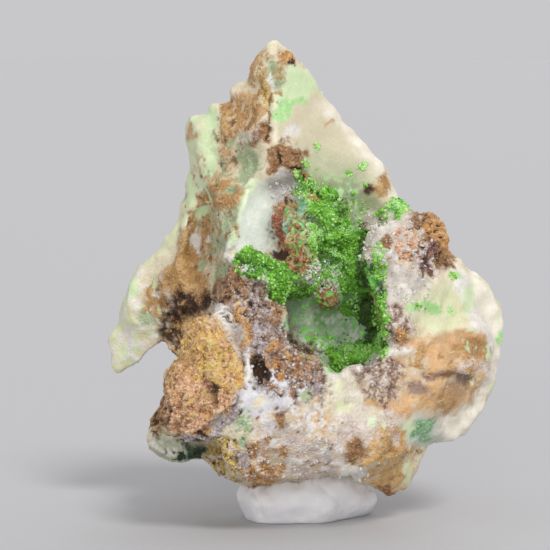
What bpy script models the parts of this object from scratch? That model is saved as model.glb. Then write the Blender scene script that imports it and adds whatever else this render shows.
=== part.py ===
"""Conichalcite specimen: a broken lump of iron-stained matrix with a green, crystal-lined hollow,
standing on a squashed pad of white display putty.

Sizes and places are in millimetres, X to the viewer's right, Y away from the viewer and Z up. They are
sketched around a point in front of the putty, and metres() moves them so that the origin is the middle
of the putty's flat underside.
"""

import math
import random

import bmesh
import bpy
from mathutils import Vector, noise
from mathutils.bvhtree import BVHTree

MM = 0.001
SEED = 7

# The middle of the putty's flat underside, in the sketch's axes.
ORIGIN = (-1.2, 4.6, 0.0)

# The fineness of a fused skin, and of one with small shapes in it.
FUSE_STEP = 0.5
FINE_STEP = 0.32

# The air that pieces keep between them, and what their coarse faces may take from it.
TOUCH_GAP = 0.3
GAP_ALLOWANCE = 0.16

# How many triangles each piece has.
MATRIX_TRIANGLES = 7600
CRUST_TRIANGLES = 1500
PUTTY_TRIANGLES = 700

# The rock is broken blocks grown together. Each block is the convex hull of its corners (x, y, z).
BLOCKS = {
    "peak": [
        (-3.4, 3.8, 49.7), (-5.0, 4.8, 48.0), (-1.6, 5.2, 48.2), (-0.7, 6.0, 46.8), (1.1, 7.0, 44.9),
        (2.1, 7.4, 43.2), (3.3, 7.8, 40.9), (-5.7, 5.4, 46.4), (-6.3, 5.8, 45.0), (-7.8, 6.5, 43.3),
        (-4.8, 2.2, 43.0), (-4.8, 0.8, 38.0), (-2.0, 12.0, 38.0), (-6.0, 12.0, 37.0), (-9.0, 8.0, 36.0),
        (3.4, 8.4, 36.6), (2.0, 5.0, 36.0), (-3.6, 1.0, 34.0),
    ],
    "upper_wall": [
        (-9.0, 8.0, 37.0), (4.7, 8.2, 40.1), (5.9, 8.2, 38.5), (7.2, 8.2, 36.9), (8.2, 8.0, 35.2),
        (8.9, 7.6, 33.7), (9.7, 7.0, 32.8), (10.5, 6.5, 31.6), (2.0, 5.8, 37.5), (-3.6, 1.4, 37.0),
        (-6.4, 0.2, 33.0), (-7.6, -1.2, 28.6), (9.0, 13.0, 30.0), (-1.0, 14.0, 37.0), (-6.0, 13.0, 36.0),
        (7.0, 7.0, 26.0), (-7.0, 3.0, 26.0), (-6.0, 13.0, 27.0),
    ],
    "lens": [
        (-6.9, 0.4, 34.8), (-4.4, 1.0, 34.0), (-7.8, -2.0, 27.4), (-5.6, -2.2, 26.8), (-3.0, -1.4, 26.4),
        (-4.0, 0.0, 30.0), (-8.2, 3.0, 26.0), (-3.0, 4.0, 26.0), (-4.0, 4.0, 34.0), (-6.5, 5.0, 35.0),
    ],
    "left_shoulder": [
        (-8.8, 6.6, 42.2), (-10.3, 7.0, 41.8), (-12.0, 8.0, 41.0), (-12.6, 9.0, 39.8), (-12.4, 9.0, 36.0),
        (-7.0, 5.0, 41.4), (-5.0, 2.5, 38.0), (-7.0, 3.5, 33.0), (-12.8, 9.0, 32.5), (-9.0, 12.0, 38.0),
        (-10.0, 12.5, 33.0),
    ],
    "left_flank": [
        (-12.4, 8.5, 35.5), (-13.4, 9.0, 31.5), (-13.9, 9.2, 30.0), (-16.0, 10.0, 27.2), (-6.3, 0.4, 32.6),
        (-8.2, -1.3, 28.0), (-8.6, 0.5, 25.5), (-9.0, 12.5, 33.0), (-11.0, 14.0, 27.0), (-4.0, 12.0, 30.0),
        (-13.0, 6.6, 25.0),
    ],
    "back_left": [
        (-8.0, 6.0, 31.0), (-12.6, 9.2, 30.0), (-14.0, 10.0, 22.0), (-8.0, 5.4, 20.0), (-8.0, 14.0, 30.0),
        (-12.6, 13.6, 27.0), (-12.4, 13.4, 18.0), (-8.0, 14.0, 16.0),
    ],
    "wing_root": [
        (-16.0, 10.0, 27.6), (-18.6, 11.5, 24.6), (-19.4, 12.0, 22.8), (-19.5, 12.0, 20.6), (-15.4, 8.4, 18.2),
        (-13.0, 6.5, 24.0), (-12.0, 8.4, 18.4), (-14.0, 14.0, 25.0), (-16.5, 14.5, 20.0), (-11.0, 13.0, 22.0),
    ],
    "wing_tip": [
        (-19.4, 12.0, 21.0), (-20.4, 12.0, 18.2), (-20.8, 12.0, 16.0), (-20.4, 12.2, 13.8), (-19.4, 12.2, 12.5),
        (-18.4, 11.6, 13.6), (-17.2, 10.6, 15.2), (-15.2, 8.8, 16.4), (-15.0, 10.0, 21.0), (-17.2, 14.5, 19.5),
        (-18.8, 14.0, 15.0),
    ],
    "shade_wall": [
        (-13.0, 7.0, 25.0), (-9.0, 3.0, 25.0), (-8.0, 4.0, 17.0), (-12.0, 7.6, 15.2), (-14.6, 8.6, 16.2),
        (-15.4, 9.0, 18.5), (-8.0, 12.0, 25.0), (-9.0, 13.0, 14.0), (-13.0, 12.5, 15.6),
    ],
    "core": [
        (-8.0, 4.0, 30.0), (6.0, 7.0, 34.0), (-8.0, 13.5, 29.0), (6.0, 14.0, 31.0), (12.0, 8.0, 29.0),
        (16.5, 12.0, 23.0), (-9.0, 4.0, 11.0), (-8.0, 12.5, 9.0), (3.0, 13.5, 6.5), (9.0, 12.0, 8.0),
        (14.5, 10.0, 13.0), (12.0, 3.0, 11.0), (0.0, 3.0, 7.0), (2.0, 15.0, 20.0), (-4.0, 15.4, 17.0),
    ],
    "back_boss": [
        (-5.0, 14.0, 26.0), (3.0, 14.6, 27.0), (6.5, 14.2, 20.0), (4.0, 15.8, 14.0), (-5.5, 15.0, 13.0),
        (-8.0, 13.0, 19.0), (0.0, 16.4, 20.5), (0.0, 12.0, 9.0), (0.0, 10.0, 28.0),
    ],
    "yellow_lobe": [
        (-9.3, -3.0, 22.8), (-10.6, -4.0, 20.9), (-12.3, -4.0, 19.2), (-13.6, -4.0, 16.6), (-14.7, -4.0, 13.2),
        (-14.7, -4.0, 12.0), (-14.0, -4.0, 9.8), (-12.4, -4.5, 9.1), (-10.0, -9.8, 17.0), (-11.6, -9.6, 13.5),
        (-8.0, -10.0, 15.0), (-7.0, -9.0, 19.0), (-10.2, -9.0, 9.6), (-6.0, -9.4, 10.5), (-9.0, 4.0, 20.0),
        (-12.0, 4.0, 14.0), (-11.0, 4.0, 9.0), (-5.0, 0.0, 22.0),
    ],
    "front_ridge": [
        (-7.4, -3.4, 26.6), (-6.2, -4.0, 25.6), (-5.0, -4.6, 24.6), (-3.5, -5.2, 23.4), (-2.5, -5.6, 22.9),
        (-2.4, -6.2, 20.4), (-9.0, -3.4, 24.0), (-9.2, -5.2, 22.0), (-4.6, -8.6, 17.0), (-8.0, -8.2, 17.0),
        (-2.0, -7.2, 18.4), (-8.0, 3.0, 25.0), (-4.0, 1.0, 21.0), (-8.0, 3.0, 15.0), (-2.0, 0.0, 15.0),
    ],
    "front_face": [
        (-2.2, -6.8, 19.6), (-1.4, -7.0, 18.8), (0.3, -7.0, 18.0), (1.0, -7.0, 16.8), (2.2, -6.8, 15.4),
        (3.6, -6.6, 15.4), (-4.6, -9.2, 16.0), (-1.0, -9.9, 11.0), (-6.0, -9.8, 10.2), (2.5, -9.0, 9.0),
        (-8.8, -8.4, 8.2), (-7.4, -7.8, 6.4), (-4.6, -7.4, 5.2), (-1.0, -7.4, 5.6), (3.6, -6.4, 5.6),
        (-8.0, 0.0, 17.0), (-7.0, 4.0, 6.0), (4.0, 5.0, 6.0), (4.0, 0.0, 12.0),
    ],
    "right_block": [
        (2.0, -6.6, 15.4), (5.6, -5.6, 17.0), (7.2, -5.0, 17.4), (9.2, -4.0, 18.4), (13.0, -2.0, 20.2),
        (17.2, 1.0, 20.6), (18.8, 3.0, 19.2), (19.0, 4.0, 16.0), (18.2, 4.0, 12.6), (16.6, 3.0, 10.2),
        (14.0, 2.0, 9.2), (12.2, 0.0, 8.4), (3.0, -8.4, 9.0), (9.0, -6.2, 12.0), (12.5, -4.2, 14.0),
        (8.0, -5.2, 7.0), (3.0, -7.0, 6.0), (17.0, 10.0, 18.0), (15.0, 10.0, 11.0), (3.0, 9.0, 7.0),
        (8.0, 6.0, 17.0),
    ],
    "toe": [
        (8.4, 1.0, 2.3), (6.5, 0.0, 3.0), (10.2, 2.0, 3.4), (11.6, 2.0, 5.2), (12.2, 2.0, 7.4),
        (4.2, -4.0, 4.4), (7.0, -5.4, 7.0), (9.0, -4.4, 9.0), (5.0, -6.4, 9.0), (8.0, 7.0, 4.6),
        (4.5, 8.0, 4.6), (11.0, 8.0, 9.0),
    ],
    "right_knob": [
        (5.8, 0.0, 29.8), (5.6, -2.0, 28.6), (6.0, -2.6, 26.0), (7.4, -3.0, 23.8), (8.6, -3.0, 21.8),
        (8.6, 1.0, 31.2), (10.4, 3.0, 31.4), (12.2, 4.0, 31.0), (13.6, 4.0, 29.4), (14.9, 4.5, 26.4),
        (14.0, 0.0, 22.0), (13.0, -1.0, 20.0), (11.2, -3.2, 27.6), (8.0, 9.0, 30.0), (13.5, 10.5, 28.0),
        (15.0, 10.0, 20.0), (8.0, 7.0, 19.0), (9.0, -2.6, 19.6),
    ],
    "right_rim": [
        (14.8, 4.0, 26.6), (17.0, 5.0, 24.4), (18.7, 6.0, 22.6), (19.5, 6.0, 20.0), (19.6, 6.0, 17.6),
        (14.0, 0.5, 23.0), (15.0, 0.5, 18.0), (19.1, 5.0, 14.0), (16.0, 11.5, 24.0), (18.0, 11.0, 18.0),
        (12.0, 6.0, 18.0),
    ],
    "left_foot": [
        (-15.0, 7.0, 13.8), (-16.2, 7.0, 11.4), (-16.4, 7.0, 9.0), (-15.9, 7.0, 6.4), (-15.0, 6.5, 4.9),
        (-12.6, 5.5, 5.0), (-10.0, 2.5, 12.0), (-9.0, 2.5, 7.0), (-9.5, 12.0, 7.5), (-13.0, 11.5, 12.0),
        (-9.0, 12.0, 16.0), (-9.5, 3.0, 16.5),
    ],
    "underside": [
        (-8.2, 3.0, 3.6), (-6.4, 2.0, 3.2), (-10.5, 4.0, 4.8), (0.0, 0.0, 4.2), (4.0, 2.0, 4.0),
        (-6.0, 9.0, 4.0), (2.0, 10.0, 4.2), (-3.0, -5.0, 5.6), (6.0, 10.0, 7.0), (-9.0, 9.0, 9.0),
        (0.0, -4.0, 8.0),
    ],
    "left_cheek": [
        (-8.6, -2.8, 26.4), (-9.4, -1.6, 23.0), (-9.4, 1.0, 20.0), (-7.0, -3.0, 25.6), (-6.0, 1.0, 26.8),
        (-8.4, 4.0, 27.0), (-6.0, 4.0, 22.0), (-9.2, 4.0, 19.0), (-5.0, -1.0, 24.6), (-4.0, 1.0, 26.0),
    ],
}

# What the hollows take away from the blocks: centre (x, y, z), radii.
HOLLOWS = {
    "vug": ((3.2, -1.6, 20.0), (4.9, 6.6, 4.9)),
    "upper_vug": ((2.0, -3.6, 28.8), (4.2, 7.6, 6.6)),
    "milky_wall": ((4.0, -9.0, 40.0), (6.0, 14.6, 9.8)),
    "cleft_beside_knob": ((5.0, -1.0, 24.6), (1.3, 5.6, 6.2)),
    "cleft_foot": ((7.2, -1.6, 20.4), (1.2, 4.6, 2.6)),
    "under_wing": ((-13.0, 0.4, 19.4), (3.0, 7.2, 4.6)),
    "flank_recess": ((-11.6, 0.4, 28.0), (2.6, 8.0, 8.0)),
    "under_lobe": ((-10.6, -2.4, 6.6), (2.4, 5.0, 2.2)),
}

# Pits and seams that are cut after the skin is softened, so that their edges stay sharp.
PITS = {
    "slot_pit": ((-4.8, -9.4, 16.0), (0.7, 2.8, 1.6)),
    "lobe_seam": ((-7.0, -10.4, 18.6), (0.7, 2.4, 4.4)),
    "lobe_groove": ((-10.0, -10.6, 12.8), (0.8, 1.8, 3.6)),
    "small_pit": ((-6.8, -9.8, 11.2), (0.6, 1.4, 0.7)),
    "nodule_pit": ((-2.8, -3.0, 28.4), (0.7, 1.4, 1.1)),
    "knob_pit": ((12.6, -2.0, 25.4), (0.9, 1.8, 1.3)),
}

# Round lumps that stand on the blocks and in the hollows: centre (x, y, z), radii.
LUMPS = {
    "nodule_top": ((-2.5, -0.6, 30.5), (1.5, 2.4, 1.7)),
    "nodule_middle": ((-0.7, -0.8, 28.7), (1.9, 3.0, 2.4)),
    "nodule_foot": ((-1.0, -1.4, 26.2), (2.2, 3.0, 2.1)),
    "crest_nodule": ((-2.2, 1.6, 36.4), (2.1, 1.7, 1.9)),
    "crest_ledge": ((-4.0, 1.0, 35.2), (1.5, 1.5, 1.2)),
    "floor_nodule": ((2.0, 3.6, 22.6), (2.0, 2.0, 1.3)),
    "edge_nodule": ((6.8, 6.4, 33.4), (1.3, 2.2, 1.3)),
    "green_edge": ((9.0, 5.6, 31.6), (1.6, 2.4, 1.1)),
    "crest_chip": ((-7.8, -1.8, 27.4), (1.2, 1.2, 0.8)),
    "cap_of_knob": ((11.8, 2.2, 28.3), (2.7, 3.4, 2.7)),
    "drusy_lobe": ((7.4, -1.8, 27.6), (1.9, 2.2, 2.4)),
    "drusy_foot": ((9.2, -2.2, 22.8), (2.0, 2.0, 2.4)),
    "vug_lip": ((8.9, -3.0, 20.2), (1.7, 2.0, 1.8)),
    "lobe_upper": ((-9.9, -5.0, 18.6), (2.7, 4.2, 3.6)),
    "lobe_lower": ((-11.6, -5.2, 13.4), (3.0, 4.7, 4.4)),
    "lobe_inner": ((-8.2, -5.6, 14.4), (2.6, 4.8, 5.0)),
    "chin": ((-5.4, -5.4, 7.2), (3.2, 3.4, 2.2)),
    "lip_seat": ((-5.0, -2.2, 25.2), (2.4, 2.4, 1.8)),
    "toe_side": ((11.4, 1.6, 7.6), (1.2, 1.6, 1.4)),
    "wing_ridge": ((-17.8, 10.4, 20.6), (1.5, 1.5, 3.6)),
    "shoulder_ridge": ((-10.6, 6.6, 36.0), (1.3, 1.5, 4.4)),
    "flank_knot": ((-8.4, 2.6, 33.4), (1.4, 1.6, 1.8)),
    "right_ridge": ((13.6, -1.4, 16.4), (3.6, 2.0, 1.5)),
    "brow": ((6.0, -4.6, 15.8), (2.6, 1.8, 1.2)),
}

# Rows of small beads along the pale rims: points of the row's path, bead radius, spacing.
BEAD_ROWS = {
    "right_rim": ([(15.4, 4.4, 25.8), (17.7, 5.6, 23.6), (19.0, 6.0, 21.2), (19.4, 6.0, 18.0),
                   (18.9, 5.2, 14.4), (17.9, 4.2, 11.6), (16.0, 3.2, 9.8), (13.6, 2.2, 9.0)], 1.15, 1.7),
    "wing_rim": ([(-11.8, 8.2, 40.4), (-12.0, 9.0, 36.0), (-13.2, 9.2, 31.2), (-15.8, 10.2, 26.6),
                  (-18.4, 11.8, 22.8), (-19.8, 12.2, 17.8)], 0.95, 1.9),
    "knob_edge": ([(6.6, -0.6, 30.0), (5.9, -2.0, 27.4), (6.7, -2.8, 24.6), (8.2, -3.2, 22.6)], 0.85, 1.3),
}

# How far the broken surface rises and falls, and where it is smoother: centre, radii, share that is left.
BREAK_HEIGHTS = ((5.5, 0.85), (2.4, 0.42))
SMOOTH_PLACES = {
    "milky_wall": ((3.0, 3.0, 40.0), (6.0, 9.0, 7.0), 0.2),
    "lens": ((-5.4, -1.0, 30.5), (2.6, 4.0, 5.0), 0.3),
    "vug_floor": ((2.4, 2.0, 19.4), (5.0, 6.0, 4.6), 0.35),
    "right_block": ((13.0, -1.0, 15.0), (6.0, 6.0, 5.0), 0.6),
}

# Where the green crystals grow, seen from the front: points (x, z) of a band's middle, half its width.
CRUST_BANDS = {
    "upper_band": ([(0.4, 34.0), (2.2, 32.6), (3.0, 30.4), (3.7, 27.5), (4.7, 25.0), (6.0, 22.5),
                    (6.9, 19.6)], 1.7),
    "rim_of_vug": ([(6.9, 19.6), (7.0, 18.0), (5.2, 16.9), (3.2, 16.2)], 0.9),
    "foot_of_nodule": ([(4.2, 26.0), (2.6, 24.6), (0.8, 24.2), (-1.0, 23.6), (-2.2, 23.8)], 0.6),
    "green_lip": ([(-2.2, 23.8), (-3.4, 25.0), (-4.6, 26.0), (-6.2, 26.7)], 1.0),
}
SPHERULES_PER_STEP = 6
SPHERULE_RADII = (0.75, 1.15)
SPHERULE_LIFT = 0.45
BAND_STEP = 0.7
IN_FRONT = -40.0

# The putty was rolled, set down flat and pressed by the rock: the hull of these points, with dents.
PUTTY = [
    (-5.0, 0.9, 0.0), (0.6, 0.9, 0.0), (3.0, 3.2, 0.0), (4.8, 5.6, 0.0), (4.6, 8.2, 0.0), (1.0, 9.6, 0.0),
    (-3.0, 9.2, 0.0), (-5.6, 6.5, 0.0), (-5.8, 3.0, 0.0), (-7.4, 3.3, 2.5), (-6.6, 7.5, 2.4),
    (-3.0, 11.0, 2.2), (2.0, 11.2, 2.0), (6.0, 9.0, 1.6), (7.8, 6.2, 1.5), (5.6, 2.0, 1.8),
    (2.2, -0.5, 2.0), (-1.5, -1.4, 2.2), (-5.4, -0.5, 2.2), (-6.6, 3.6, 3.8), (-5.4, 0.8, 4.2),
    (-2.6, -0.2, 4.8), (0.5, -0.6, 4.8), (3.8, 0.2, 4.5), (5.8, 2.8, 3.6), (4.0, 9.0, 3.6),
    (-3.0, 9.0, 4.2), (0.0, 5.0, 5.0),
]
PUTTY_DENT = 0.35
PUTTY_DENT_SIZE = 3.2
PUTTY_BELOW_CUT = 1.4


def metres(point):
    """A point of the sketch, in millimetres, as a place in the scene, in metres."""
    return (Vector(point) - Vector(ORIGIN)) * MM


def new_object(name, mesh):
    """Links a new object that holds the mesh, and returns it."""
    obj = bpy.data.objects.new(name, mesh)
    bpy.context.scene.collection.objects.link(obj)
    return obj


def mesh_of(name, bm):
    """Turns a bmesh into a mesh and frees the bmesh."""
    mesh = bpy.data.meshes.new(name)
    bm.to_mesh(mesh)
    bm.free()
    return mesh


def add_hull(bm, corners):
    """Adds the convex hull of the corners."""
    verts = [bm.verts.new(metres(corner)) for corner in corners]
    made = bmesh.ops.convex_hull(bm, input=verts)
    spare = {v for v in made["geom_interior"] + made["geom_unused"] if isinstance(v, bmesh.types.BMVert)}
    bmesh.ops.delete(bm, geom=list(spare), context="VERTS")


def add_ellipsoid(bm, centre, radii, detail=3):
    """Adds an ellipsoid."""
    made = bmesh.ops.create_icosphere(bm, subdivisions=detail, radius=1.0)
    for vert in made["verts"]:
        vert.co = metres([vert.co[i] * radii[i] + centre[i] for i in range(3)])


def settle_modifiers(obj):
    """Replaces the object's mesh with the one its modifiers make, and removes the modifiers."""
    graph = bpy.context.evaluated_depsgraph_get()
    mesh = bpy.data.meshes.new_from_object(obj.evaluated_get(graph))
    obj.modifiers.clear()
    obj.data = mesh


def fuse(obj, step=FUSE_STEP):
    """Joins overlapping shells into one skin with a voxel remesh."""
    remesh = obj.modifiers.new("Fuse", "REMESH")
    remesh.mode = "VOXEL"
    remesh.voxel_size = step * MM
    settle_modifiers(obj)


def soften(obj, times):
    """Smooths the skin."""
    smooth = obj.modifiers.new("Soften", "SMOOTH")
    smooth.factor = 0.5
    smooth.iterations = times
    settle_modifiers(obj)


def cut_away(obj, cutter):
    """Takes the cutter's shape out of the object, and removes the cutter."""
    cutter.hide_render = True
    cutter.display_type = "WIRE"
    cut = obj.modifiers.new("Cut", "BOOLEAN")
    cut.operation = "DIFFERENCE"
    cut.object = cutter
    settle_modifiers(obj)
    bpy.data.objects.remove(cutter)


def keep_largest_shell(obj):
    """Deletes every loose shell of the mesh but the one with the most points."""
    bm = bmesh.new()
    bm.from_mesh(obj.data)
    unseen = set(bm.verts)
    shells = []
    while unseen:
        shell = set()
        edge_of_search = [unseen.pop()]
        while edge_of_search:
            vert = edge_of_search.pop()
            shell.add(vert)
            near = [edge.other_vert(vert) for edge in vert.link_edges]
            edge_of_search += [v for v in near if v in unseen]
            unseen.difference_update(near)
        shells.append(shell)
    largest = max(shells, key=len)
    bmesh.ops.delete(bm, geom=[v for v in bm.verts if v not in largest], context="VERTS")
    obj.data = mesh_of(obj.name, bm)


def thin_out(obj, triangles):
    """Collapses edges until the object has about this many triangles."""
    bm = bmesh.new()
    bm.from_mesh(obj.data)
    bmesh.ops.triangulate(bm, faces=bm.faces)
    obj.data = mesh_of(obj.name, bm)
    thin = obj.modifiers.new("Thin", "DECIMATE")
    thin.ratio = triangles / len(obj.data.polygons)
    thin.use_collapse_triangulate = True
    settle_modifiers(obj)


def finish_skin(obj, name, colour, roughness):
    """Gives the object its flat shading and its material."""
    material = bpy.data.materials.new(name)
    material.use_nodes = True
    shader = material.node_tree.nodes["Principled BSDF"]
    shader.inputs["Base Color"].default_value = (*colour, 1.0)
    shader.inputs["Roughness"].default_value = roughness
    shader.inputs["Metallic"].default_value = 0.0
    obj.data.materials.clear()
    obj.data.materials.append(material)
    obj.data.shade_flat()


def build_blocks():
    """The rock's blocks fused into one skin."""
    bm = bmesh.new()
    for corners in BLOCKS.values():
        block = bmesh.new()
        add_hull(block, corners)
        bmesh.ops.recalc_face_normals(block, faces=block.faces)
        bm.from_mesh(mesh_of("block", block))
    rock = new_object("matrix", mesh_of("matrix", bm))
    fuse(rock)
    return rock


def cut_hollows(rock, hollows, step):
    """Takes the hollows out of the rock."""
    bm = bmesh.new()
    for centre, radii in hollows.values():
        add_ellipsoid(bm, centre, radii)
    cutter = new_object("hollow_cutter", mesh_of("hollow_cutter", bm))
    fuse(cutter, step)
    cut_away(rock, cutter)


def points_along(path, spacing):
    """Points about one spacing apart along a path of straight runs."""
    points = []
    for start, end in zip(path, path[1:]):
        a, b = Vector(start), Vector(end)
        count = max(1, round((b - a).length / spacing))
        points += [a.lerp(b, i / count) for i in range(count)]
    return points + [Vector(path[-1])]


def grow_lumps(rock, chance):
    """Adds the round lumps and the beads of the pale rims."""
    bm = bmesh.new()
    bm.from_mesh(rock.data)
    for centre, radii in LUMPS.values():
        add_ellipsoid(bm, centre, radii)
    for path, radius, spacing in BEAD_ROWS.values():
        for point in points_along(path, spacing):
            size = radius * chance.uniform(0.7, 1.15)
            add_ellipsoid(bm, point, (size, size * 1.3, size), detail=2)
    rock.data = mesh_of("matrix", bm)
    fuse(rock)
    soften(rock, 3)


def share_of_break(place):
    """How strongly the surface is broken at a place of the sketch, from 0 to 1."""
    share = 1.0
    for centre, radii, left in SMOOTH_PLACES.values():
        away = math.sqrt(sum(((place[i] - centre[i]) / radii[i]) ** 2 for i in range(3)))
        inside = min(1.0, max(0.0, (1.3 - away) / 0.5))
        share = min(share, 1.0 + (left - 1.0) * inside)
    return share


def break_surface(rock):
    """Raises and sinks the skin in uneven, angular lumps, less in the smooth places."""
    mesh = rock.data
    moves = []
    for vert in mesh.vertices:
        place = vert.co / MM + Vector(ORIGIN)
        height = 0.0
        for size, amount in BREAK_HEIGHTS:
            distances, _ = noise.voronoi(place / size)
            facet = 0.5 - distances[0]
            height += amount * (0.6 * facet + 0.7 * noise.noise(place / size))
        moves.append(vert.normal * height * share_of_break(place) * MM)
    for vert, move in zip(mesh.vertices, moves):
        vert.co += move
    mesh.update()


def swollen_copy(obj, amount):
    """A copy of the object whose skin stands the amount further out, for cutting with a gap."""
    mesh = obj.data.copy()
    normals = [vert.normal.copy() for vert in mesh.vertices]
    for vert, normal in zip(mesh.vertices, normals):
        vert.co += normal * amount * MM
    copy = new_object("gap_cutter", mesh)
    fuse(copy, FINE_STEP)
    return copy


def build_matrix(chance):
    """The rock."""
    rock = build_blocks()
    cut_hollows(rock, HOLLOWS, FUSE_STEP)
    grow_lumps(rock, chance)
    break_surface(rock)
    cut_hollows(rock, PITS, FINE_STEP)
    fuse(rock, FINE_STEP)
    keep_largest_shell(rock)
    thin_out(rock, MATRIX_TRIANGLES)
    finish_skin(rock, "matrix", (0.55, 0.42, 0.26), 0.75)
    return rock


def band_points(bands, surface):
    """Points on the rock's surface along each green band, with the band's half width."""
    points = []
    for path, half_width in bands.values():
        hits = []
        for x, z in path:
            hit, _, _, _ = surface.ray_cast(metres((x, IN_FRONT, z)), Vector((0.0, 1.0, 0.0)))
            hits.append(hit / MM)
        for point in points_along(hits, BAND_STEP):
            nearest, normal, _, _ = surface.find_nearest(point * MM)
            points.append((nearest / MM, normal, half_width))
    return points


def build_crust(rock, chance):
    """The green crystals: round clusters along the bands, fused, and cut clear of the rock."""
    graph = bpy.context.evaluated_depsgraph_get()
    surface = BVHTree.FromObject(rock, graph)
    bm = bmesh.new()
    origin = Vector(ORIGIN)
    for point, normal, half_width in band_points(CRUST_BANDS, surface):
        middle = point + normal * SPHERULE_LIFT + origin
        add_ellipsoid(bm, middle, (SPHERULE_RADII[1],) * 3, detail=2)
        for _ in range(SPHERULES_PER_STEP):
            aside = Vector([chance.uniform(-half_width, half_width) for _ in range(3)])
            seat, seat_normal, _, _ = surface.find_nearest((point + aside) * MM)
            size = chance.uniform(*SPHERULE_RADII)
            add_ellipsoid(bm, seat / MM + seat_normal * SPHERULE_LIFT + origin, (size,) * 3, detail=2)
    crust = new_object("conichalcite_crust", mesh_of("conichalcite_crust", bm))
    fuse(crust, FINE_STEP)
    thin_out(crust, CRUST_TRIANGLES * 2)
    cut_away(crust, swollen_copy(rock, TOUCH_GAP + GAP_ALLOWANCE))
    keep_largest_shell(crust)
    thin_out(crust, CRUST_TRIANGLES)
    finish_skin(crust, "conichalcite_crust", (0.13, 0.42, 0.08), 0.45)
    return crust


def cut_flat_below(obj):
    """Cuts the object off at height zero and closes the cut with one flat face."""
    bm = bmesh.new()
    bm.from_mesh(obj.data)
    everything = list(bm.verts) + list(bm.edges) + list(bm.faces)
    cut = bmesh.ops.bisect_plane(bm, geom=everything, plane_co=(0, 0, 0), plane_no=(0, 0, -1), clear_outer=True)
    rim = [item for item in cut["geom_cut"] if isinstance(item, bmesh.types.BMEdge)]
    bmesh.ops.edgeloop_fill(bm, edges=rim)
    bmesh.ops.recalc_face_normals(bm, faces=bm.faces)
    obj.data = mesh_of(obj.name, bm)


def build_putty(rock):
    """The pad of putty, dented, flat below and hollowed by the rock that is pressed into it."""
    bm = bmesh.new()
    add_hull(bm, [(x, y, z if z > 0.0 else -PUTTY_BELOW_CUT) for x, y, z in PUTTY])
    bmesh.ops.recalc_face_normals(bm, faces=bm.faces)
    pad = new_object("putty_pad", mesh_of("putty_pad", bm))
    fuse(pad, FUSE_STEP)
    soften(pad, 4)
    normals = [vert.normal.copy() for vert in pad.data.vertices]
    for vert, normal in zip(pad.data.vertices, normals):
        vert.co += normal * PUTTY_DENT * noise.noise(vert.co / MM / PUTTY_DENT_SIZE) * MM
    thin_out(pad, PUTTY_TRIANGLES * 2)
    cut_away(pad, swollen_copy(rock, TOUCH_GAP + GAP_ALLOWANCE))
    keep_largest_shell(pad)
    thin_out(pad, PUTTY_TRIANGLES)
    cut_flat_below(pad)
    finish_skin(pad, "putty_pad", (0.82, 0.82, 0.84), 0.6)


def main():
    for obj in list(bpy.data.objects):
        bpy.data.objects.remove(obj)
    chance = random.Random(SEED)
    rock = build_matrix(chance)
    build_crust(rock, chance)
    build_putty(rock)


main()
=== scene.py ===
"""Looks of the conichalcite specimen: rusty and milky rock with a green, crystal-lined hollow, on putty.

Places are in millimetres in the part's frame. The rock's colours are laid as seen from the
photograph's side: (across, up) in millimetres, as if each place lay at the depth the camera looks at.
"""

import math

import bmesh
import bpy
import numpy as np
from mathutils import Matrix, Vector, noise
from mathutils.bvhtree import BVHTree


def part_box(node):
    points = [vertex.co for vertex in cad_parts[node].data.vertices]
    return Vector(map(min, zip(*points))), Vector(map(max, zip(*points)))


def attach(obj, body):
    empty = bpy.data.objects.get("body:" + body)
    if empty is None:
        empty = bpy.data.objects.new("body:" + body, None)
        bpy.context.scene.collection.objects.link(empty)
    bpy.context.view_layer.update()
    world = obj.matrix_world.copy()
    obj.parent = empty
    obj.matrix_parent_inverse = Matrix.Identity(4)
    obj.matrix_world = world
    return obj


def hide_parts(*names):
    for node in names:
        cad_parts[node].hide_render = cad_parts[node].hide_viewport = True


MM = 0.001
SEED = 11

# The photograph's camera: what it looks at, how far off it is, how high it stands, how wide it sees.
VIEW_TARGET = np.array((-2.1, -4.6, 25.2))
VIEW_DISTANCE = 300.0
VIEW_ELEVATION = math.radians(5.0)
VIEW_WIDTH = 55.0
SENSOR_WIDTH = 36.0
VIEW_BACK = np.array((0.0, -math.cos(VIEW_ELEVATION), math.sin(VIEW_ELEVATION)))
VIEW_UP = np.array((0.0, math.sin(VIEW_ELEVATION), math.cos(VIEW_ELEVATION)))
EYE = VIEW_TARGET + VIEW_BACK * VIEW_DISTANCE

# How fine the rock's skin is, and how often its coarse faces are smoothed. Faces are split in four where
# the rock is seen and granular: where the product of the two is above this.
SKIN_STEP = 0.3
SKIN_SMOOTHING = 5
SPLIT_ABOVE = 0.55

# A place counts as seen unless something hides it that is more than this much nearer, in mm.
HIDDEN_PAST = 2.2

# Colours also follow how far the skin stands out of its surroundings, as painted light where it stands
# out and painted shade where it sinks: how often these are blurred, and how many mm count as one step.
RISE_BLUR = 30
RISE_STEP = 0.25

# Loose-looking grains on the seen side and on the far side: how many, and their radii in mm.
FRONT_GRAINS = (8500, (0.06, 0.15))
FAR_GRAINS = (7000, (0.08, 0.2))
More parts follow.
